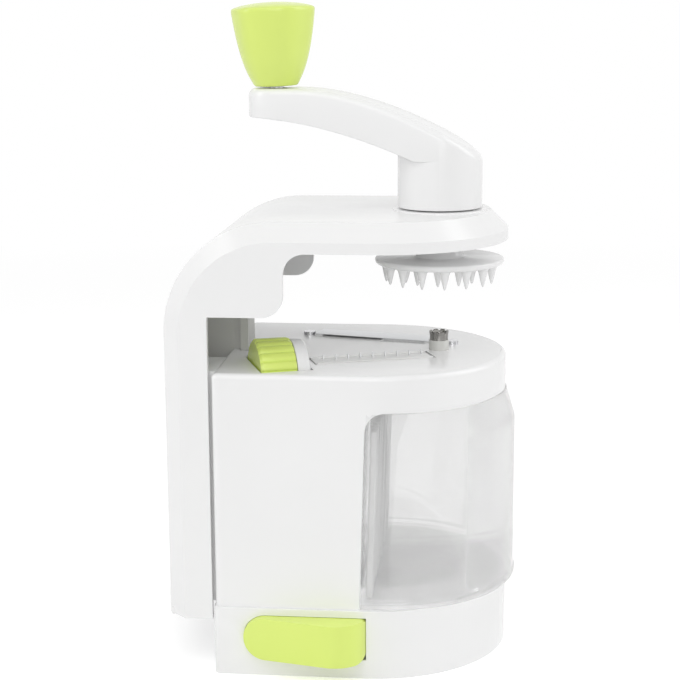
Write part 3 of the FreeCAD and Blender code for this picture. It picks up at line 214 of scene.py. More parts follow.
whitePlastic = mouldedPlastic("whitePlastic", tone(242, 242, 242), tone(237, 237, 237), 0.22)
# the drum's white is a shade lighter than the other white parts: painted light against the shade
# it sits in below the deck; its matte gloss is its own
drumPlasticWithPaintedLight = mouldedPlastic("drumPlasticWithPaintedLight", tone(244, 244, 243), tone(239, 239, 238), 0.5)
limePlastic = mouldedPlastic("limePlastic", tone(223, 240, 126), tone(216, 235, 114), 0.20)
nylon = mouldedPlastic("nylon", tone(214, 214, 210), tone(204, 204, 200), 0.42)
rubber = mouldedPlastic("rubber", tone(96, 97, 99), tone(80, 81, 83), 0.7, 0.05)
bladeSteel = drawnSteel("bladeSteel", tone(220, 221, 222), tone(200, 201, 203), 0.38,
                        (0.08, 1.0, 1.0), 1400.0)
# chrome: only the light tone is the metal's own; the near-black dark tone, in streaks running up
# the tube, is painted reflection of dark surroundings
chrome = drawnSteel("chrome", tone(196, 194, 190), tone(34, 32, 30), 0.10, (1.0, 1.0, 0.02),
                    420.0)
screwSteel = drawnSteel("screwSteel", tone(222, 222, 224), tone(196, 196, 199), 0.28,
                        (1.0, 1.0, 1.0), 700.0)
clear = clearPlastic("clearPlastic", *clearSizes["wall"])
clearRib = clearPlastic("clearRib", *clearSizes["rib"])
print("materials made:", len(bpy.data.materials))

whiteFinish = (whitePlastic, "white_plastic")
drumFinish = (drumPlasticWithPaintedLight, "white_plastic")
limeFinish = (limePlastic, "lime_plastic")
clearFinish = (clear, "clear_plastic")
ribFinish = (clearRib, "clear_plastic")
steelFinish = (bladeSteel, "blade_steel")
chromeFinish = (chrome, "tube_chrome")
nylonFinish = (nylon, "bearing_plastic")

nodeFinish = [
    (whitePlastic, ["base_shell", "bottom_plate", "body_housing", "roller_collar", "roller_drum",
                    "arm_shell", "arm_cover", "food_disc", "crank_arm"]),
    (bladeSteel, ["slicing_blade", "coarse_comb", "medium_comb", "fine_comb"]),
    (limePlastic, ["suction_lever", "selector_knob", "crank_knob"]),
    (clear, ["clear_container"]),
    (chrome, ["coring_tube"]),
    (screwSteel, ["base_screws", "cover_screws", "rail_screws", "blade_screws", "disc_screw",
                  "drive_shaft", "lever_pin", "stem_spring", "roller_axle", "knob_spindle"]),
    (rubber, ["suction_pad"]),
    (nylon, ["thrust_washer", "shaft_bushing", "roller_bearing", "slide_rail", "lift_stem"]),
]


def finishNodes():
    for material, names in nodeFinish:
        for name in names:
            mesh = nodes[name].data
            mesh.materials.clear()
            mesh.materials.append(material)
    print("nodes finished")


def newPiece(bm, name, body, finish, replaced=(), sharp=32.0, turnOut=True):
    # a bmesh in millimetres becomes an object that rides on a body
    bmesh.ops.remove_doubles(bm, verts=bm.verts, dist=weld)
    if turnOut:
        bmesh.ops.recalc_face_normals(bm, faces=bm.faces)
    bmesh.ops.scale(bm, vec=(0.001, 0.001, 0.001), verts=bm.verts)
    mesh = bpy.data.meshes.new(name)
    bm.to_mesh(mesh)
    bm.free()
    mesh.shade_smooth()
    if sharp:
        mesh.set_sharp_from_angle(angle=math.radians(sharp))
    material, slot = finish
    mesh.materials.append(material)
    piece = bpy.data.objects.new(name, mesh)
    bpy.context.scene.collection.objects.link(piece)
    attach(piece, body)
    if replaced:
        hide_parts(*replaced)
    return piece


def softEdges(piece, width, segments=2, angle=35.0):
    # rounds every edge that turns by more than an angle
    soft = piece.modifiers.new("softEdges", "BEVEL")
    soft.width, soft.segments, soft.limit_method = width / 1000, segments, "ANGLE"
    soft.angle_limit, soft.harden_normals = math.radians(angle), True
    soft.use_clamp_overlap = True


def cadCopy(name):
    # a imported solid's mesh in millimetres, its loose triangles joined into whole faces
    bm = bmesh.new()
    bm.from_mesh(nodes[name].data)
    bmesh.ops.scale(bm, vec=(1000, 1000, 1000), verts=bm.verts)
    bmesh.ops.remove_doubles(bm, verts=bm.verts, dist=weld)
    bmesh.ops.dissolve_limit(bm, angle_limit=math.radians(flat), verts=bm.verts,
                             edges=bm.edges, delimit={"NORMAL"})
    return bm


def bevelEdges(bm, edges, offset, segments, clamp=True):
    return bmesh.ops.bevel(bm, geom=edges, offset=offset, offset_type="OFFSET", affect="EDGES",
                           segments=segments, profile=0.5, material=-1, clamp_overlap=clamp,
                           loop_slide=True)


def bevelCorners(bm, corners, offset, segments):
    return bmesh.ops.bevel(bm, geom=corners, offset=offset, offset_type="OFFSET",
                           affect="VERTICES", segments=segments, profile=0.5, material=-1,
                           clamp_overlap=False)


def drawFace(bm, points):
    # a flat face through the points, whose corners it gives
    corners = [bm.verts.new(point) for point in points]
    bm.faces.new(corners)
    return corners


def pull(bm, face, step):
    # extrudes a face into a closed block
    made = bmesh.ops.extrude_face_region(bm, geom=[face])["geom"]
    moved = [part for part in made if isinstance(part, bmesh.types.BMVert)]
    bmesh.ops.translate(bm, vec=step, verts=moved)
    bmesh.ops.recalc_face_normals(bm, faces=bm.faces)


def extend(bm, face, keep=False):
    # extrudes an end face in place, and gives the new end
    made = bmesh.ops.extrude_face_region(bm, geom=[face])["geom"]
    if not keep:
        bmesh.ops.delete(bm, geom=[face], context="FACES_ONLY")
    return [part for part in made if isinstance(part, bmesh.types.BMFace)][0]


def addBlock(bm, low, high):
    made = bmesh.ops.create_cube(bm, size=1.0)["verts"]
    bmesh.ops.scale(bm, vec=[h - l for l, h in zip(low, high)], verts=made)
    bmesh.ops.translate(bm, vec=[(h + l) / 2 for l, h in zip(low, high)], verts=made)
    return made


def addRod(bm, radius, low, high, segments, x=0.0):
    made = bmesh.ops.create_cone(bm, cap_ends=True, segments=segments, radius1=radius,
                                 radius2=radius, depth=high - low)["verts"]
    bmesh.ops.translate(bm, vec=(x, 0, (low + high) / 2), verts=made)
    return made


def turned(bm, profile, steps, x=0.0, y=0.0):
    # a line of (radius, height) points spun about an upright axis
    line = [bm.verts.new((x + radius, y, height)) for radius, height in profile]
    edges = [bm.edges.new(pair) for pair in zip(line, line[1:])]
    bmesh.ops.spin(bm, geom=line + edges, cent=(x, y, 0), axis=(0, 0, 1), dvec=(0, 0, 0),
                   angle=2 * math.pi, steps=steps, use_merge=True)


armSizes = {"rear": -90.8, "front": -69.9, "foot": 25.0, "top": 205.9, "under": 192.9,
            "shoulderX": -36.1, "shoulderZ": 164.7, "nose": 61.2, "half": 59.5,
            "bend": 50.0, "shoulderRound": 9.5, "chamfer": 8.0, "wall": 3.0, "soft": 0.8,
            "floor": -81.3, "ring": 22.0, "ringTop": 206.5, "ringSunk": 0.5, "bush": 7.05,
            "crankX": axisX, "footBack": 1.0, "footSide": 5.0, "noseFrom": 1.7, "bendSteps": 22,
            "shoulderSteps": 8, "noseSteps": 26, "ringSteps": 96, "softAngle": 25.0,
            "ringSoft": 0.3, "noseFlat": 0.02}


def buildArm():
    s = armSizes
    bm = bmesh.new()
    side = [(s["rear"], s["foot"]), (s["front"], s["foot"]), (s["front"], s["shoulderZ"]),
            (s["shoulderX"], s["shoulderZ"]), (s["shoulderX"], s["under"]),
            (s["nose"], s["under"]), (s["nose"], s["top"]), (s["rear"], s["top"])]
    corners = drawFace(bm, [(x, -s["half"], z) for x, z in side])
    bevelCorners(bm, [corners[7]], s["bend"], s["bendSteps"])
    bevelCorners(bm, [corners[3], corners[4]], s["shoulderRound"], s["shoulderSteps"])
    pull(bm, bm.faces[:][0], (0, 2 * s["half"], 0))
    nose = [edge for edge in bm.edges
            if all(abs(v.co.x - s["nose"]) < near for v in edge.verts)
            and abs(edge.verts[0].co.y - edge.verts[1].co.y) < near]
    bevelEdges(bm, nose, s["half"] - s["noseFlat"], s["noseSteps"], clamp=False)
    bm.normal_update()

    def outside(face):
        # the flanks and the round nose
        return abs(face.normal.z) < near and (abs(face.normal.y) > square
                                              or face.calc_center_median().x > s["noseFrom"])

    def over(face):
        # the back, the bend and the top
        return abs(face.normal.y) < near and (face.normal.z > near or face.normal.x < -square)

    rim = [edge for edge in bm.edges if len(edge.link_faces) == 2
           and any(outside(f) for f in edge.link_faces) and any(over(f) for f in edge.link_faces)]
    bevelEdges(bm, rim, s["chamfer"], 1, clamp=False)
    bm.normal_update()
    # what faces down or inward stays open, and the walls take their thickness from the rest
    openFaces = [f for f in bm.faces if f.normal.z < -0.1
                 or (f.normal.x > 0.5 and f.calc_center_median().x < 0)]
    bmesh.ops.delete(bm, geom=openFaces, context="FACES")
    arm = newPiece(bm, "armBody", "press_arm", whiteFinish, ["arm_shell"], sharp=0,
                   turnOut=False)
    wall = arm.modifiers.new("wall", "SOLIDIFY")
    wall.thickness, wall.offset, wall.use_even_offset = s["wall"] / 1000, -1.0, True
    softEdges(arm, s["soft"], 3, s["softAngle"])

    bm = bmesh.new()
    low, side = s["top"] - s["ringSunk"], s["half"] - s["footSide"]
    turned(bm, [(s["bush"], low), (s["ring"], low), (s["ring"], s["ringTop"]),
                (s["bush"], s["ringTop"]), (s["bush"], low)], s["ringSteps"], s["crankX"])
    # the column's closed foot
    addBlock(bm, (s["rear"] + s["footBack"], -side, s["foot"]),
             (s["floor"], side, s["foot"] + s["wall"]))
    ring = newPiece(bm, "armRing", "press_arm", whiteFinish, ["arm_shell"], sharp=0)
    softEdges(ring, s["ringSoft"])
    print("arm built")


crankSizes = {"tipX": gripX, "tipRadius": 12.8, "hubX": axisX, "hubRadius": 19.5,
              "top": 261.3, "flatEnd": -34.0, "fall": 0.01504, "fallPower": 1.72,
              "under": 248.2, "arch": 0.0082, "archPower": 1.785, "archFoot": 229.0,
              "foot": 207.1, "topSoft": 3.4, "topSteps": 6, "underSoft": 0.6, "underSteps": 3,
              "hubGap": 0.03, "hubTop": 241.0, "cut": 231.0, "cutSlope": 0.35, "tipSteps": 12,
              "sideSteps": 28, "hubSteps": 96, "rowFirst": -40.0, "rowStep": 4.5, "rows": 15,
              "blank": 10.0}


def crankTop(x):
    s = crankSizes
    return s["top"] - s["fall"] * max(0.0, x - s["flatEnd"]) ** s["fallPower"]


def crankUnder(x):
    s = crankSizes
    if x > s["hubX"] + near:
        return s["foot"]
    run = max(0.0, x - s["tipX"] + s["tipRadius"])
    return max(s["archFoot"], s["under"] - s["arch"] * run ** s["archPower"])


def roundRim(bm, faces, radius, steps, drop):
    # insets a flat region in steps, and notes how far each ring lies from the region's level
    for v in {v for face in faces for v in face.verts}:
        v[drop] = radius
    done = 0.0
    for step in range(1, steps + 1):
        turn = math.pi / 2 * step / steps
        reach = radius * (1 - math.cos(turn))
        bmesh.ops.inset_region(bm, faces=faces, thickness=reach - done, use_boundary=True,
                               use_even_offset=True)
        done = reach
        for v in {v for face in faces for v in face.verts}:
            v[drop] = radius * (1 - math.sin(turn))


def buildCrank():
    s = crankSizes
    spread = math.asin((s["hubRadius"] - s["tipRadius"]) / (s["hubX"] - s["tipX"]))
    bm = bmesh.new()
    start = bm.verts.new((s["tipX"] - s["tipRadius"], 0, 0))
    bmesh.ops.spin(bm, geom=[start], cent=(s["tipX"], 0, 0), axis=(0, 0, 1), dvec=(0, 0, 0),
                   angle=math.pi / 2 - spread, steps=s["tipSteps"])
    bend = min(bm.verts, key=lambda v: v.co.y)
    touch = bmesh.ops.extrude_vert_indiv(bm, verts=[bend])["verts"][0]
    touch.co = (s["hubX"] - s["hubRadius"] * math.sin(spread),
                -s["hubRadius"] * math.cos(spread), 0)
    bmesh.ops.spin(bm, geom=[touch], cent=(s["hubX"], 0, 0), axis=(0, 0, 1), dvec=(0, 0, 0),
                   angle=math.pi / 2 + spread, steps=s["sideSteps"])
    bmesh.ops.mirror(bm, geom=bm.verts[:] + bm.edges[:], matrix=Matrix.Identity(4),
                     merge_dist=near, axis="Y")
    bmesh.ops.remove_doubles(bm, verts=bm.verts, dist=near)
    bmesh.ops.contextual_create(bm, geom=bm.edges[:])
    # rows of edges, so that the plan can follow the arm's curves
    for x in [s["rowFirst"] + s["rowStep"] * row for row in range(s["rows"])] + [s["hubX"]]:
        bmesh.ops.bisect_plane(bm, geom=bm.verts[:] + bm.edges[:] + bm.faces[:], dist=0.0005,
                               plane_co=(x, 0, 0), plane_no=(1, 0, 0))
    lower = bm.faces[:]
    made = bmesh.ops.extrude_face_region(bm, geom=lower)["geom"]
    upper = [part for part in made if isinstance(part, bmesh.types.BMFace)]
    raised = [part for part in made if isinstance(part, bmesh.types.BMVert)]
    bmesh.ops.translate(bm, vec=(0, 0, s["blank"]), verts=raised)
    bmesh.ops.recalc_face_normals(bm, faces=bm.faces)
    bm.normal_update()
    drop = bm.verts.layers.float.new("drop")
    roundRim(bm, upper, s["topSoft"], s["topSteps"], drop)
    roundRim(bm, [f for f in bm.faces if f.normal.z < -0.9], s["underSoft"], s["underSteps"],
             drop)
    for v in bm.verts:
        if v.co.z > s["blank"] / 2:
            v.co.z = crankTop(v.co.x) - v[drop]
        else:
            v.co.z = crankUnder(v.co.x) + v[drop]
    hub = addRod(bm, s["hubRadius"] - s["hubGap"], s["foot"], s["hubTop"], s["hubSteps"],
                 s["hubX"])
    parts = {p for v in hub for p in (*v.link_edges, *v.link_faces)}
    cut = bmesh.ops.bisect_plane(bm, geom=hub + list(parts), clear_outer=True,
                                 plane_co=(s["hubX"], 0, s["cut"]),
                                 plane_no=(s["cutSlope"], 0, 1))
    bmesh.ops.contextual_create(bm, geom=[p for p in cut["geom_cut"]
                                          if isinstance(p, bmesh.types.BMEdge)])
    bm.normal_update()
    footRim = [e for e in bm.edges if len(e.link_faces) == 2
               and all(abs(v.co.z - s["foot"]) < 0.001 for v in e.verts)
               and e.calc_face_angle(0) > 1.0]
    bevelEdges(bm, footRim, s["underSoft"], s["underSteps"])
    newPiece(bm, "crankBody", "crank", whiteFinish, ["crank_arm"], sharp=40)
    print("crank built")


gripSizes = {"x": gripX, "z": 259.3, "lean": -2.0, "bore": 3.26, "foot": 2.8, "roof": 31.1,
             "sides": 6, "facet": 0.022, "facetFoot": 0.35, "facetFrom": 3.0,
             "facetOver": 30.0, "steps": 72,
             "profile": [(9.2, 2.8), (10.0, 3.1), (10.5, 4.0), (12.1, 6.8), (13.9, 10.8),
                         (15.45, 15.6), (16.75, 20.8), (17.75, 25.8), (18.5, 30.6),
                         (19.05, 34.6), (19.35, 36.8), (19.25, 37.7), (18.6, 38.4),
                         (14.5, 39.5), (9.5, 40.25), (4.5, 40.6), (0.0, 40.7)]}


def buildGrip():
    s = gripSizes
    bm = bmesh.new()
    turned(bm, [(0.0, s["roof"]), (s["bore"], s["roof"]), (s["bore"], s["foot"])] + s["profile"],
           s["steps"])
    for v in bm.verts:
        out = math.hypot(v.co.x, v.co.y)
        if out > s["bore"] + 1:
            # faint flats, deeper towards the top
            rise = min(1.0, max(0.0, (v.co.z - s["facetFrom"]) / s["facetOver"]))
            depth = s["facet"] * (s["facetFoot"] + (1 - s["facetFoot"]) * rise)
            turn = math.atan2(v.co.y, v.co.x)
            v.co.xy *= 1 - depth * (1 - math.cos(s["sides"] * turn))
    bmesh.ops.rotate(bm, cent=(0, 0, 0), matrix=Matrix.Rotation(math.radians(s["lean"]), 3, "Y"),
                     verts=bm.verts)
    bmesh.ops.translate(bm, vec=(s["x"], 0, s["z"]), verts=bm.verts)
    grip = newPiece(bm, "gripBody", "grip", limeFinish, ["crank_knob"], sharp=50)
    smooth = grip.modifiers.new("smooth", "SUBSURF")
    smooth.levels = smooth.render_levels = 1
    print("grip built")


discSizes = {"x": axisX, "top": 183.6, "thick": 3.2, "radius": 30.0, "bossTop": 192.1,
             "boss": 10.6, "bore": 4.0, "steps": 120,
             "footEdge": ((-3.0, 0.0), (-1.5, 0.25), (-0.5, 0.85), (0.0, 1.8)),
             "topEdge": ((0.0, -0.8), (-0.3, -0.25), (-0.9, 0.0)),
             "bossEdge": ((2.6, 0.0), (1.0, 0.5), (0.2, 1.8)),
             "rings": ((15, 24.6, -82.0), (10, 16.0, -90.0)), "root": 0.4, "spikeSteps": 14,
             "spike": ((3.0, 0.0), (2.35, 0.7), (1.95, 2.0), (1.5, 4.2), (0.95, 6.6),
                       (0.5, 8.1), (0.0, 8.6))}


def buildDisc():
    s = discSizes
    foot = s["top"] - s["thick"]
    bm = bmesh.new()
    rim = [(s["radius"] + out, foot + up) for out, up in s["footEdge"]]
    rim += [(s["radius"] + out, s["top"] + up) for out, up in s["topEdge"]]
    rim += [(s["boss"] + out, s["top"] + up) for out, up in s["bossEdge"]]
    turned(bm, [(s["bore"], foot)] + rim
           + [(s["boss"], s["bossTop"]), (s["bore"], s["bossTop"]), (s["bore"], foot)],
           s["steps"], s["x"])
    root = [(0.0, foot + s["root"]), (s["spike"][0][0], foot + s["root"])]
    spike = root + [(radius, foot - down) for radius, down in s["spike"]]
    for count, ring, first in s["rings"]:
        for number in range(count):
            turn = math.radians(first + 360.0 / count * number)
            x, y = s["x"] + ring * math.cos(turn), ring * math.sin(turn)
            turned(bm, spike, s["spikeSteps"], x, y)
    newPiece(bm, "spikedDisc", "crank", whiteFinish, ["food_disc"], sharp=40)
    print("disc built")


footSizes = {"soft": 0.45}


def buildFoot():
    foot = newPiece(cadCopy("base_shell"), "footBody", "base", whiteFinish, ["base_shell"])
    softEdges(foot, footSizes["soft"])
    print("foot built")


leverSizes = {"pin": (-14.0, -58.8), "nose": 14.45, "tip": -55.25, "tilt": 13.0, "back": -56.5,
              "foot": 8.95, "top": 28.45, "soft": 2.9, "endFoot": 4.6, "endTop": 2.6,
              "forkFoot": 13.1, "forkTop": 16.1, "forkStart": 4.0, "forkHalf": 5.0,
              "forkLap": 0.2, "eye": 3.6, "noseSteps": 28, "tipSteps": 12, "softSteps": 5,
              "tipFlat": 0.05, "endRows": (1.0, 0.5, 0.2)}


def buildLever():
    s = leverSizes
    pinX, pinY = s["pin"]
    tilt = math.radians(s["tilt"])
    touchX = pinX - s["nose"] * math.sin(tilt)
    touchY = pinY - s["nose"] * math.cos(tilt)
    tipY = touchY + (touchX - s["tip"]) * math.tan(tilt)
    bm = bmesh.new()
    touch = bm.verts.new((touchX, touchY, s["foot"]))
    bmesh.ops.spin(bm, geom=[touch], cent=(pinX, pinY, 0), axis=(0, 0, 1), dvec=(0, 0, 0),
                   angle=math.pi / 2 + tilt, steps=s["noseSteps"])
    end = max(bm.verts, key=lambda v: v.co.x)
    line = [end] + [bm.verts.new((x, y, s["foot"])) for x, y in
                    ((pinX + s["nose"], s["back"]), (s["tip"], s["back"]), (s["tip"], tipY))]
    for pair in zip(line, line[1:] + [touch]):
        bm.edges.new(pair)
    bmesh.ops.contextual_create(bm, geom=bm.edges[:])
    pull(bm, bm.faces[:][0], (0, 0, s["top"] - s["foot"]))
    half = (s["top"] - s["foot"]) / 2
    tips = [e for e in bm.edges if all(abs(v.co.x - s["tip"]) < near for v in e.verts)
            and abs(e.verts[0].co.z - e.verts[1].co.z) < near]
    bevelEdges(bm, tips, half - s["tipFlat"], s["tipSteps"], clamp=False)
    bm.normal_update()
    # rows of points, so that the round end can take its corners
    for inward in [s["endFoot"]] + [s["endTop"] * share for share in s["endRows"]]:
        bmesh.ops.bisect_plane(bm, geom=bm.verts[:] + bm.edges[:] + bm.faces[:], dist=0.001,
                               plane_co=(pinX + s["nose"] - inward, 0, 0), plane_no=(1, 0, 0))
    bm.normal_update()
    for v in bm.verts:
        # the round end's corners, rounded as they show from the front
        fromEnd = pinX + s["nose"] - v.co.x
        for corner, way in ((s["endFoot"], 1), (s["endTop"], -1)):
            if fromEnd < corner and (v.co.z < s["foot"] + half) == (way == 1):
                inside = corner - max(0.0, fromEnd)
                v.co.z += way * (corner - math.sqrt(max(0.0, corner ** 2 - inside ** 2)))

    def front(face):
        return abs(face.normal.z) < near and face.normal.y < -2 * near

    rim = [e for e in bm.edges if len(e.link_faces) == 2
           and sum(front(f) for f in e.link_faces) == 1
           and all(abs(f.normal.y) < 0.2 or front(f) for f in e.link_faces)]
    bevelEdges(bm, rim, s["soft"], s["softSteps"])
    # the fork about the stem: a stalk and two arms
    reach = math.hypot(pinX, pinY)
    side, eye, lap = s["forkHalf"], s["eye"], s["forkLap"]
    fork = []
    for low, high in (((s["forkStart"], -side), (reach - eye, side)),
                      ((reach - eye - lap, eye), (reach + side, side)),
                      ((reach + eye, -side), (reach + side, eye + lap))):
        fork += addBlock(bm, low + (s["forkFoot"],), high + (s["forkTop"],))
    bmesh.ops.rotate(bm, cent=(0, 0, 0), verts=fork,
                     matrix=Matrix.Rotation(math.atan2(-pinY, -pinX), 3, "Z"))
    bmesh.ops.translate(bm, vec=(pinX, pinY, 0), verts=fork)
    newPiece(bm, "leverBody", "lever", limeFinish, ["suction_lever"], sharp=40)
    print("lever built")


deckSizes = {"deck": 139.7, "soft": 0.4, "rollerAt": (-51.9, -40.5, 133.0), "rollerTurn": 20.3,
             "drumStart": 27.5, "drumEnd": 82.5, "drumHalf": 6.6, "lip": 0.5, "lipWide": 0.9,
             "teeth": 9, "toothFirst": 32.6, "toothLast": 79.4, "toothHigh": 2.2,
             "toothThick": 0.45, "toothDeep": 1.6, "toothAside": 1.2, "toothLean": 0.6,
             "lipSunk": 0.1, "toothSunk": 0.3, "drumSoft": 0.2, "softAngle": 50.0}


def toRoller(bm, verts):
    # stands a shape built along X on the roller's axis
    bmesh.ops.rotate(bm, cent=(0, 0, 0), verts=verts,
                     matrix=Matrix.Rotation(math.radians(deckSizes["rollerTurn"]), 3, "Z"))
    bmesh.ops.translate(bm, vec=deckSizes["rollerAt"], verts=verts)


def buildHousing():
    housing = newPiece(cadCopy("body_housing"), "housingBody", "base", whiteFinish,
                       ["body_housing"])
    softEdges(housing, deckSizes["soft"], angle=deckSizes["softAngle"])
    print("housing built")


def buildRoller():
    s = deckSizes
    bm = bmesh.new()
    half = s["drumHalf"]
    addBlock(bm, (s["drumStart"], -half, -half), (s["drumEnd"], half, half))
    for quarter in range(4):
        for aside in (-half, half - s["lipWide"]):
            lip = addBlock(bm, (s["drumStart"], aside, half - s["lipSunk"]),
                           (s["drumEnd"], aside + s["lipWide"], half + s["lip"]))
            bmesh.ops.rotate(bm, cent=(0, 0, 0), verts=lip,
                             matrix=Matrix.Rotation(math.pi / 2 * quarter, 3, "X"))
    toRoller(bm, bm.verts)
    drum = newPiece(bm, "combDrum", "roller", drumFinish, ["roller_drum"], sharp=0)
    softEdges(drum, s["drumSoft"])
    bm = bmesh.new()
    for number in range(s["teeth"]):
        at = s["toothFirst"] + (s["toothLast"] - s["toothFirst"]) / (s["teeth"] - 1) * number
        tooth = addBlock(bm, (at - s["toothThick"] / 2, s["toothAside"], half - s["toothSunk"]),
                         (at + s["toothThick"] / 2, s["toothAside"] + s["toothDeep"],
                          half + s["toothHigh"]))
        for v in tooth:
            if v.co.z > half + 1 and v.co.y < s["toothAside"] + 0.1:
                v.co.y += s["toothDeep"] * s["toothLean"]
    toRoller(bm, bm.verts)
    newPiece(bm, "scoringTeeth", "roller", steelFinish, ["medium_comb"])
    print("comb roller built")


wheelSizes = {"radius": 18.3, "length": 16.4, "ribs": 24, "groove": 0.75, "collarEnd": 22.6,
              "collar": 17.5, "collarSoft": 1.4, "gap": 0.25, "facesPerRib": 10,
              "collarSteps": 128, "softSteps": 5, "endShare": 0.93,
              "nearEnd": ((0.5, 0.965), (0.9, 0.99), (1.6, 1.0)),
              "farEnd": ((-1.0, 1.0), (-0.4, 0.985), (0.0, 0.955))}


def buildWheel():
    s = wheelSizes
    bm = bmesh.new()
    bmesh.ops.create_circle(bm, cap_ends=True, segments=s["ribs"] * s["facesPerRib"],
                            radius=s["radius"])
    for v in bm.verts:
        turn = math.atan2(v.co.y, v.co.x) * s["ribs"] / 2
        v.co *= 1 - s["groove"] / s["radius"] * (1 - abs(math.cos(turn))) ** 2
    # each step: how far along, and the share of the full radius
    steps = s["nearEnd"] + tuple((s["length"] + at, share) for at, share in s["farEnd"])
    face, shrink, height = bm.faces[:][0], s["endShare"], 0.0
    bmesh.ops.scale(bm, vec=(shrink, shrink, 1), verts=bm.verts)
    for at, wanted in steps:
        face = extend(bm, face, keep=height == 0.0)
        bmesh.ops.scale(bm, vec=(wanted / shrink, wanted / shrink, 1), verts=face.verts)
        bmesh.ops.translate(bm, vec=(0, 0, at - height), verts=face.verts)
        shrink, height = wanted, at
    bmesh.ops.rotate(bm, cent=(0, 0, 0), verts=bm.verts,
                     matrix=Matrix.Rotation(math.pi / 2, 3, "Y"))
    toRoller(bm, bm.verts)
    newPiece(bm, "selectorWheel", "roller", limeFinish, ["selector_knob"], sharp=30)
    bm = bmesh.new()
    addRod(bm, s["collar"], s["length"] + s["gap"], s["collarEnd"], s["collarSteps"])
    rims = [e for e in bm.edges if abs(e.verts[0].co.z - e.verts[1].co.z) < near
            and e.verts[0].co.z > s["collarEnd"] - near]
    bevelEdges(bm, rims, s["collarSoft"], s["softSteps"])
    bmesh.ops.rotate(bm, cent=(0, 0, 0), verts=bm.verts,
                     matrix=Matrix.Rotation(math.pi / 2, 3, "Y"))
    toRoller(bm, bm.verts)
    newPiece(bm, "wheelCollar", "roller", whiteFinish, ["roller_collar"], sharp=40)
    print("wheel built")


bladeSizes = {"at": (-1.6, 26.6), "turn": -14.0, "length": 60.0, "width": 13.0, "thick": 0.8,
              "tilt": 3.0, "ground": 2.6, "groundDeep": 0.7, "lift": 0.1}


def buildBlade():
    s = bladeSizes
    bm = bmesh.new()
    addBlock(bm, (-s["length"] / 2, -s["width"] / 2, 0),
             (s["length"] / 2, s["width"] / 2, s["thick"]))
    cutting = [e for e in bm.edges if all(v.co.y < 0 and v.co.z > 0.1 for v in e.verts)]
    ground = bevelEdges(bm, cutting, s["thick"] * s["groundDeep"], 1)
    for v in ground["verts"]:
        if v.co.z > s["thick"] - near:
            v.co.y = -s["width"] / 2 + s["ground"]
    rise = math.sin(math.radians(s["tilt"])) * s["width"] / 2 + s["lift"]
    bmesh.ops.rotate(bm, cent=(0, 0, 0), verts=bm.verts,
                     matrix=Matrix.Rotation(math.radians(-s["tilt"]), 3, "X"))
    bmesh.ops.rotate(bm, cent=(0, 0, 0), verts=bm.verts,
                     matrix=Matrix.Rotation(math.radians(s["turn"]), 3, "Z"))
    bmesh.ops.translate(bm, vec=s["at"] + (deckSizes["deck"] + rise,), verts=bm.verts)
    newPiece(bm, "cuttingBlade", "base", steelFinish, ["slicing_blade"])
    print("blade built")


tubeSizes = {"x": axisX, "foot": 131.7, "top": 148.6, "socketTop": 144.4, "socket": 4.7,
             "outer": 4.25, "flare": 4.55, "inner": 3.75, "notches": 8, "notch": 0.8,
             "notchFrom": 0.5, "socketFoot": 1.5, "socketGap": 0.03, "socketSoft": (0.25, 0.3),
             "tubeSteps": 96, "socketSteps": 64, "outerRim": ((0.0, -3.4), (0.08, -1.6)),
             "flareRim": ((0.0, -0.1), (-0.15, 0.0)), "innerRim": ((0.35, -0.2), (0.0, -1.6))}


def buildTube():
    s = tubeSizes
    bm = bmesh.new()
    rim = s["top"]
    side = [(s["outer"] + out, rim + up) for out, up in s["outerRim"]]
    side += [(s["flare"] + out, rim + up) for out, up in s["flareRim"]]
    side += [(s["inner"] + out, rim + up) for out, up in s["innerRim"]]
    turned(bm, [(s["inner"], s["foot"]), (s["outer"], s["foot"])] + side
           + [(s["inner"], s["foot"])], s["tubeSteps"], s["x"])
    for v in bm.verts:
        if v.co.z > rim - s["notchFrom"]:
            turn = math.atan2(v.co.y, v.co.x - s["x"])
            v.co.z -= s["notch"] * max(0.0, math.cos(s["notches"] * turn)) ** 2
    newPiece(bm, "coringTube", "base", chromeFinish, ["coring_tube"], sharp=45)
    bm = bmesh.new()
    foot, inner = deckSizes["deck"] - s["socketFoot"], s["outer"] + s["socketGap"]
    softOut, softDown = s["socketSoft"]
    turned(bm, [(inner, foot), (s["socket"], foot), (s["socket"], s["socketTop"] - softDown),
                (s["socket"] - softOut, s["socketTop"]), (inner, s["socketTop"]),
                (inner, foot)], s["socketSteps"], s["x"])
    newPiece(bm, "tubeSocket", "base", nylonFinish, ["coring_tube"], sharp=45)
    print("tube built")


containerSizes = {"radius": 61.0, "centre": 4.7, "foot": 32.3, "shoulder": 109.0, "top": 122.6,
                  "taper": 4.3, "backFoot": -2.5, "backTop": 0.2, "corner": 8.6, "wall": 2.2,
                  "soft": 0.6, "arcSteps": 56, "ribWide": 1.6, "ribProud": 2.6,
                  "ribFoot": 36.0, "ribTop": 114.0, "ribSunk": 0.1, "ribSoft": 0.3,
                  "cornerSteps": 10, "softAngle": 38.0, "shoulderSoft": 1.5,
                  "shoulderMove": (-0.12, -0.5), "mouthArea": 2000,
                  "ribs": (-54.0, -45.0, -30.0, -18.0, 2.0, 22.0, 46.0),
                  "bead": ((32.3, 60.9, 0.0), (32.7, 61.5, -0.2), (33.5, 62.0, -0.35),
                           (34.5, 62.2, -0.4), (35.4, 62.1, -0.4), (36.2, 61.7, -0.2),
                           (36.8, 61.2, -0.1), (37.6, 61.0, 0.0))}


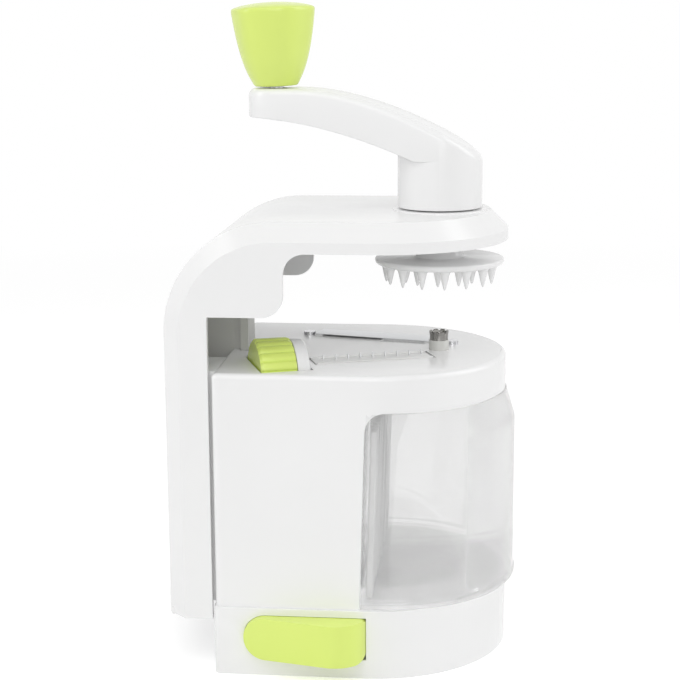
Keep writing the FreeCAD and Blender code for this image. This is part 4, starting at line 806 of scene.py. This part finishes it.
def buildContainer():
    s = containerSizes
    bm = bmesh.new()
    start = bm.verts.new((s["centre"], -s["radius"], 0))
    bmesh.ops.spin(bm, geom=[start], cent=(s["centre"], 0, 0), axis=(0, 0, 1), dvec=(0, 0, 0),
                   angle=math.pi, steps=s["arcSteps"])
    end = max(bm.verts, key=lambda v: v.co.y)
    rear = [bm.verts.new((-s["radius"] / 2, side * s["radius"], 0)) for side in (1, -1)]
    for pair in ((end, rear[0]), rear, (rear[1], start)):
        bm.edges.new(pair)
    bmesh.ops.contextual_create(bm, geom=bm.edges[:])
    # each level: height, radius, and how far the outline has moved back
    levels = s["bead"] + ((s["shoulder"] - s["shoulderSoft"], s["radius"], 0.0),
                          (s["shoulder"], s["radius"], s["shoulderMove"][0]),
                          (s["shoulder"] + s["shoulderSoft"], s["radius"], s["shoulderMove"][1]),
                          (s["top"], s["radius"], -s["taper"]))
    face = bm.faces[:][0]
    height, radius, moved = 0.0, s["radius"], 0.0
    for number, (wantedHeight, wantedRadius, wantedMove) in enumerate(levels):
        if number:
            face = extend(bm, face, keep=number == 1)
        grow = wantedRadius / radius
        bmesh.ops.scale(bm, vec=(grow, grow, 1), verts=face.verts,
                        space=Matrix.Translation((-s["centre"] - moved, 0, 0)))
        bmesh.ops.translate(bm, verts=face.verts,
                            vec=(wantedMove - moved, 0, wantedHeight - height))
        height, radius, moved = wantedHeight, wantedRadius, wantedMove
    bmesh.ops.recalc_face_normals(bm, faces=bm.faces)
    slope = (s["backTop"] - s["backFoot"]) / (s["top"] - s["foot"])
    cut = bmesh.ops.bisect_plane(bm, geom=bm.verts[:] + bm.edges[:] + bm.faces[:],
                                 plane_co=(s["backFoot"], 0, s["foot"]),
                                 plane_no=(1, 0, -slope), clear_inner=True)
    bmesh.ops.contextual_create(bm, geom=[part for part in cut["geom_cut"]
                                          if isinstance(part, bmesh.types.BMEdge)])
    bmesh.ops.recalc_face_normals(bm, faces=bm.faces)
    bm.normal_update()
    corner = [e for e in bm.edges if all(abs(v.co.z - s["top"]) < near
                                         and v.co.x < s["backTop"] + 0.1 for v in e.verts)]
    bevelEdges(bm, corner, s["corner"], s["cornerSteps"], clamp=False)
    bm.normal_update()
    mouth = [f for f in bm.faces if f.normal.z > square and f.calc_area() > s["mouthArea"]]
    bmesh.ops.delete(bm, geom=mouth, context="FACES")
    container = newPiece(bm, "catchContainer", "container", clearFinish, ["clear_container"],
                         sharp=s["softAngle"], turnOut=False)
    wall = container.modifiers.new("wall", "SOLIDIFY")
    wall.thickness, wall.offset, wall.use_even_offset = s["wall"] / 1000, -1.0, True
    softEdges(container, s["soft"], 3, s["softAngle"])
    bm = bmesh.new()
    for y in s["ribs"]:
        inner = s["backFoot"] + s["wall"]
        addBlock(bm, (inner - s["ribSunk"], y - s["ribWide"] / 2, s["ribFoot"]),
                 (inner + s["ribProud"], y + s["ribWide"] / 2, s["ribTop"]))
    bmesh.ops.rotate(bm, cent=(s["backFoot"], 0, s["foot"]), verts=bm.verts,
                     matrix=Matrix.Rotation(math.atan(slope), 3, "Y"))
    softEdges(newPiece(bm, "containerRibs", "container", ribFinish, sharp=0), s["ribSoft"])
    print("container built")


# each rib inside the column: its back, its front and how proud it stands
ribSizes = {"far": 56.5, "foot": 29.0, "top": 163.0, "sunk": 0.3, "soft": 0.25,
            "ribs": ((-85.2, -84.0, 0.7), (-82.6, -81.2, 0.8), (-79.9, -79.3, 0.5),
                     (-77.6, -75.2, 0.9))}


def buildRibs():
    s = ribSizes
    bm = bmesh.new()
    for side in (1, -1):
        for back, front, proud in s["ribs"]:
            low, high = sorted((side * (s["far"] - proud), side * (s["far"] + s["sunk"])))
            addBlock(bm, (back, low, s["foot"]), (front, high, s["top"]))
    softEdges(newPiece(bm, "columnRibs", "press_arm", whiteFinish, sharp=0), s["soft"])
    print("ribs built")


finishNodes()
buildArm()
buildRibs()
buildCrank()
buildGrip()
buildDisc()
buildFoot()
buildLever()
buildHousing()
buildRoller()
buildWheel()
buildBlade()
buildTube()
buildContainer()


# the floor's sizes are metres, the camera's place and target millimetres
stageSizes = {"floor": 6.0, "floorGlow": 0.34, "fadeFrom": 0.45, "fadeOver": 0.9, "world": 0.535,
              "lens": 85.82, "azimuth": 5.89, "elevation": 11.61, "distance": 766.21,
              "target": (-17.18, 0.0, 143.3), "roll": -0.30, "sensor": 36.0,
              "clip": (0.01, 50.0), "lampAim": (0.0, 0.0, 0.15), "paper": 244,
              "paperRough": 0.8, "paperGloss": 0.1}
white = (1.0, 1.0, 1.0, 1.0)
black = (0.0, 0.0, 0.0, 1.0)

# name, azimuth and elevation in degrees, distance, width and height in metres, power in watts
lampPlan = [("frontBox", 8.0, 17.0, 2.2, 1.1, 1.1, 9.2),
            ("topBox", -8.0, 52.0, 1.8, 0.9, 0.9, 5.0),
            ("leftBox", -74.0, 28.0, 1.3, 0.4, 1.2, 3.6),
            ("rightBox", 100.0, 32.0, 1.3, 0.7, 1.2, 5.0)]


def around(azimuth, elevation, distance):
    # a place about the object, from the front, in metres
    turn, rise = math.radians(azimuth), math.radians(elevation)
    return Vector((math.sin(turn) * math.cos(rise), -math.cos(turn) * math.cos(rise),
                   math.sin(rise))) * distance


def seenDirectly(wire):
    # 1 to the camera and in gloss and glass, 0 to the light that falls on things
    rays = [wire.node("ShaderNodeLightPath", {}, {}, name)
            for name in ("Is Camera Ray", "Is Glossy Ray", "Is Transmission Ray")]
    return wire.math("MAXIMUM", wire.math("MAXIMUM", rays[0], rays[1]), rays[2])


def buildFloor():
    s = stageSizes
    bm = bmesh.new()
    bmesh.ops.create_grid(bm, x_segments=2, y_segments=2, size=s["floor"])
    mesh = bpy.data.meshes.new("floor")
    bm.to_mesh(mesh)
    bm.free()
    floor = bpy.data.objects.new("floor", mesh)
    bpy.context.scene.collection.objects.link(floor)
    material, shader, wire = newMaterial("floorPaper")
    tree = material.node_tree
    seen = seenDirectly(wire)
    glow = blend(wire, seen, black, white)
    plug(material, shader, Base_Color=tone(*[s["paper"]] * 3), Roughness=s["paperRough"],
         Specular_IOR_Level=s["paperGloss"], Emission_Color=glow,
         Emission_Strength=s["floorGlow"])
    # far from the object the paper fades into the backdrop
    place = wire.node("ShaderNodeTexCoord", {}, {}, "Object")
    reach = wire.node("ShaderNodeVectorMath", {"operation": "LENGTH"}, {0: place}, "Value")
    fade = wire.node("ShaderNodeMath", {"operation": "MULTIPLY_ADD", "use_clamp": True},
                     {0: reach, 1: 1 / s["fadeOver"], 2: -s["fadeFrom"] / s["fadeOver"]})
    away = wire.node("ShaderNodeEmission", {}, {
        "Color": white, "Strength": seen * (1.0 - s["world"]) + s["world"]})
    mixed = wire.node("ShaderNodeMixShader", {}, {0: fade})
    tree.links.new(shader.outputs[0], mixed.socket.node.inputs[1])
    tree.links.new(away.socket, mixed.socket.node.inputs[2])
    tree.links.new(mixed.socket, tree.nodes["Material Output"].inputs["Surface"])
    mesh.materials.append(material)


def buildWorld():
    world = bpy.data.worlds.new("studio")
    world.use_nodes = True
    bpy.context.scene.world = world
    wire = Wire(world.node_tree)
    background = world.node_tree.nodes["Background"]
    strength = seenDirectly(wire) * (1.0 - stageSizes["world"]) + stageSizes["world"]
    world.node_tree.links.new(strength.socket, background.inputs["Strength"])
    background.inputs["Color"].default_value = white


def addLamp(name, azimuth, elevation, distance, width, height, power):
    light = bpy.data.lights.new(name, "AREA")
    light.shape, light.size, light.size_y, light.energy = "RECTANGLE", width, height, power
    lamp = bpy.data.objects.new(name, light)
    bpy.context.scene.collection.objects.link(lamp)
    aim = Vector(stageSizes["lampAim"])
    lamp.location = aim + around(azimuth, elevation, distance)
    lamp.rotation_euler = (aim - lamp.location).to_track_quat("-Z", "Y").to_euler()
    lamp.visible_camera = False


def buildCamera():
    camera = bpy.data.cameras.new("camera")
    camera.sensor_width, camera.lens = stageSizes["sensor"], stageSizes["lens"]
    camera.clip_start, camera.clip_end = stageSizes["clip"]
    eye = bpy.data.objects.new("camera", camera)
    bpy.context.scene.collection.objects.link(eye)
    back = around(stageSizes["azimuth"], stageSizes["elevation"], 1.0)
    eye.location = (Vector(stageSizes["target"]) + back * stageSizes["distance"]) / 1000
    turn = (-back).to_track_quat("-Z", "Y").to_matrix()
    turn = Matrix.Rotation(math.radians(stageSizes["roll"]), 3, back) @ turn
    eye.rotation_euler = turn.to_euler()
    bpy.context.scene.camera = eye


buildFloor()
buildWorld()
for lampLine in lampPlan:
    addLamp(*lampLine)
buildCamera()
bpy.context.scene.view_settings.view_transform = "Standard"
print("stage ready")
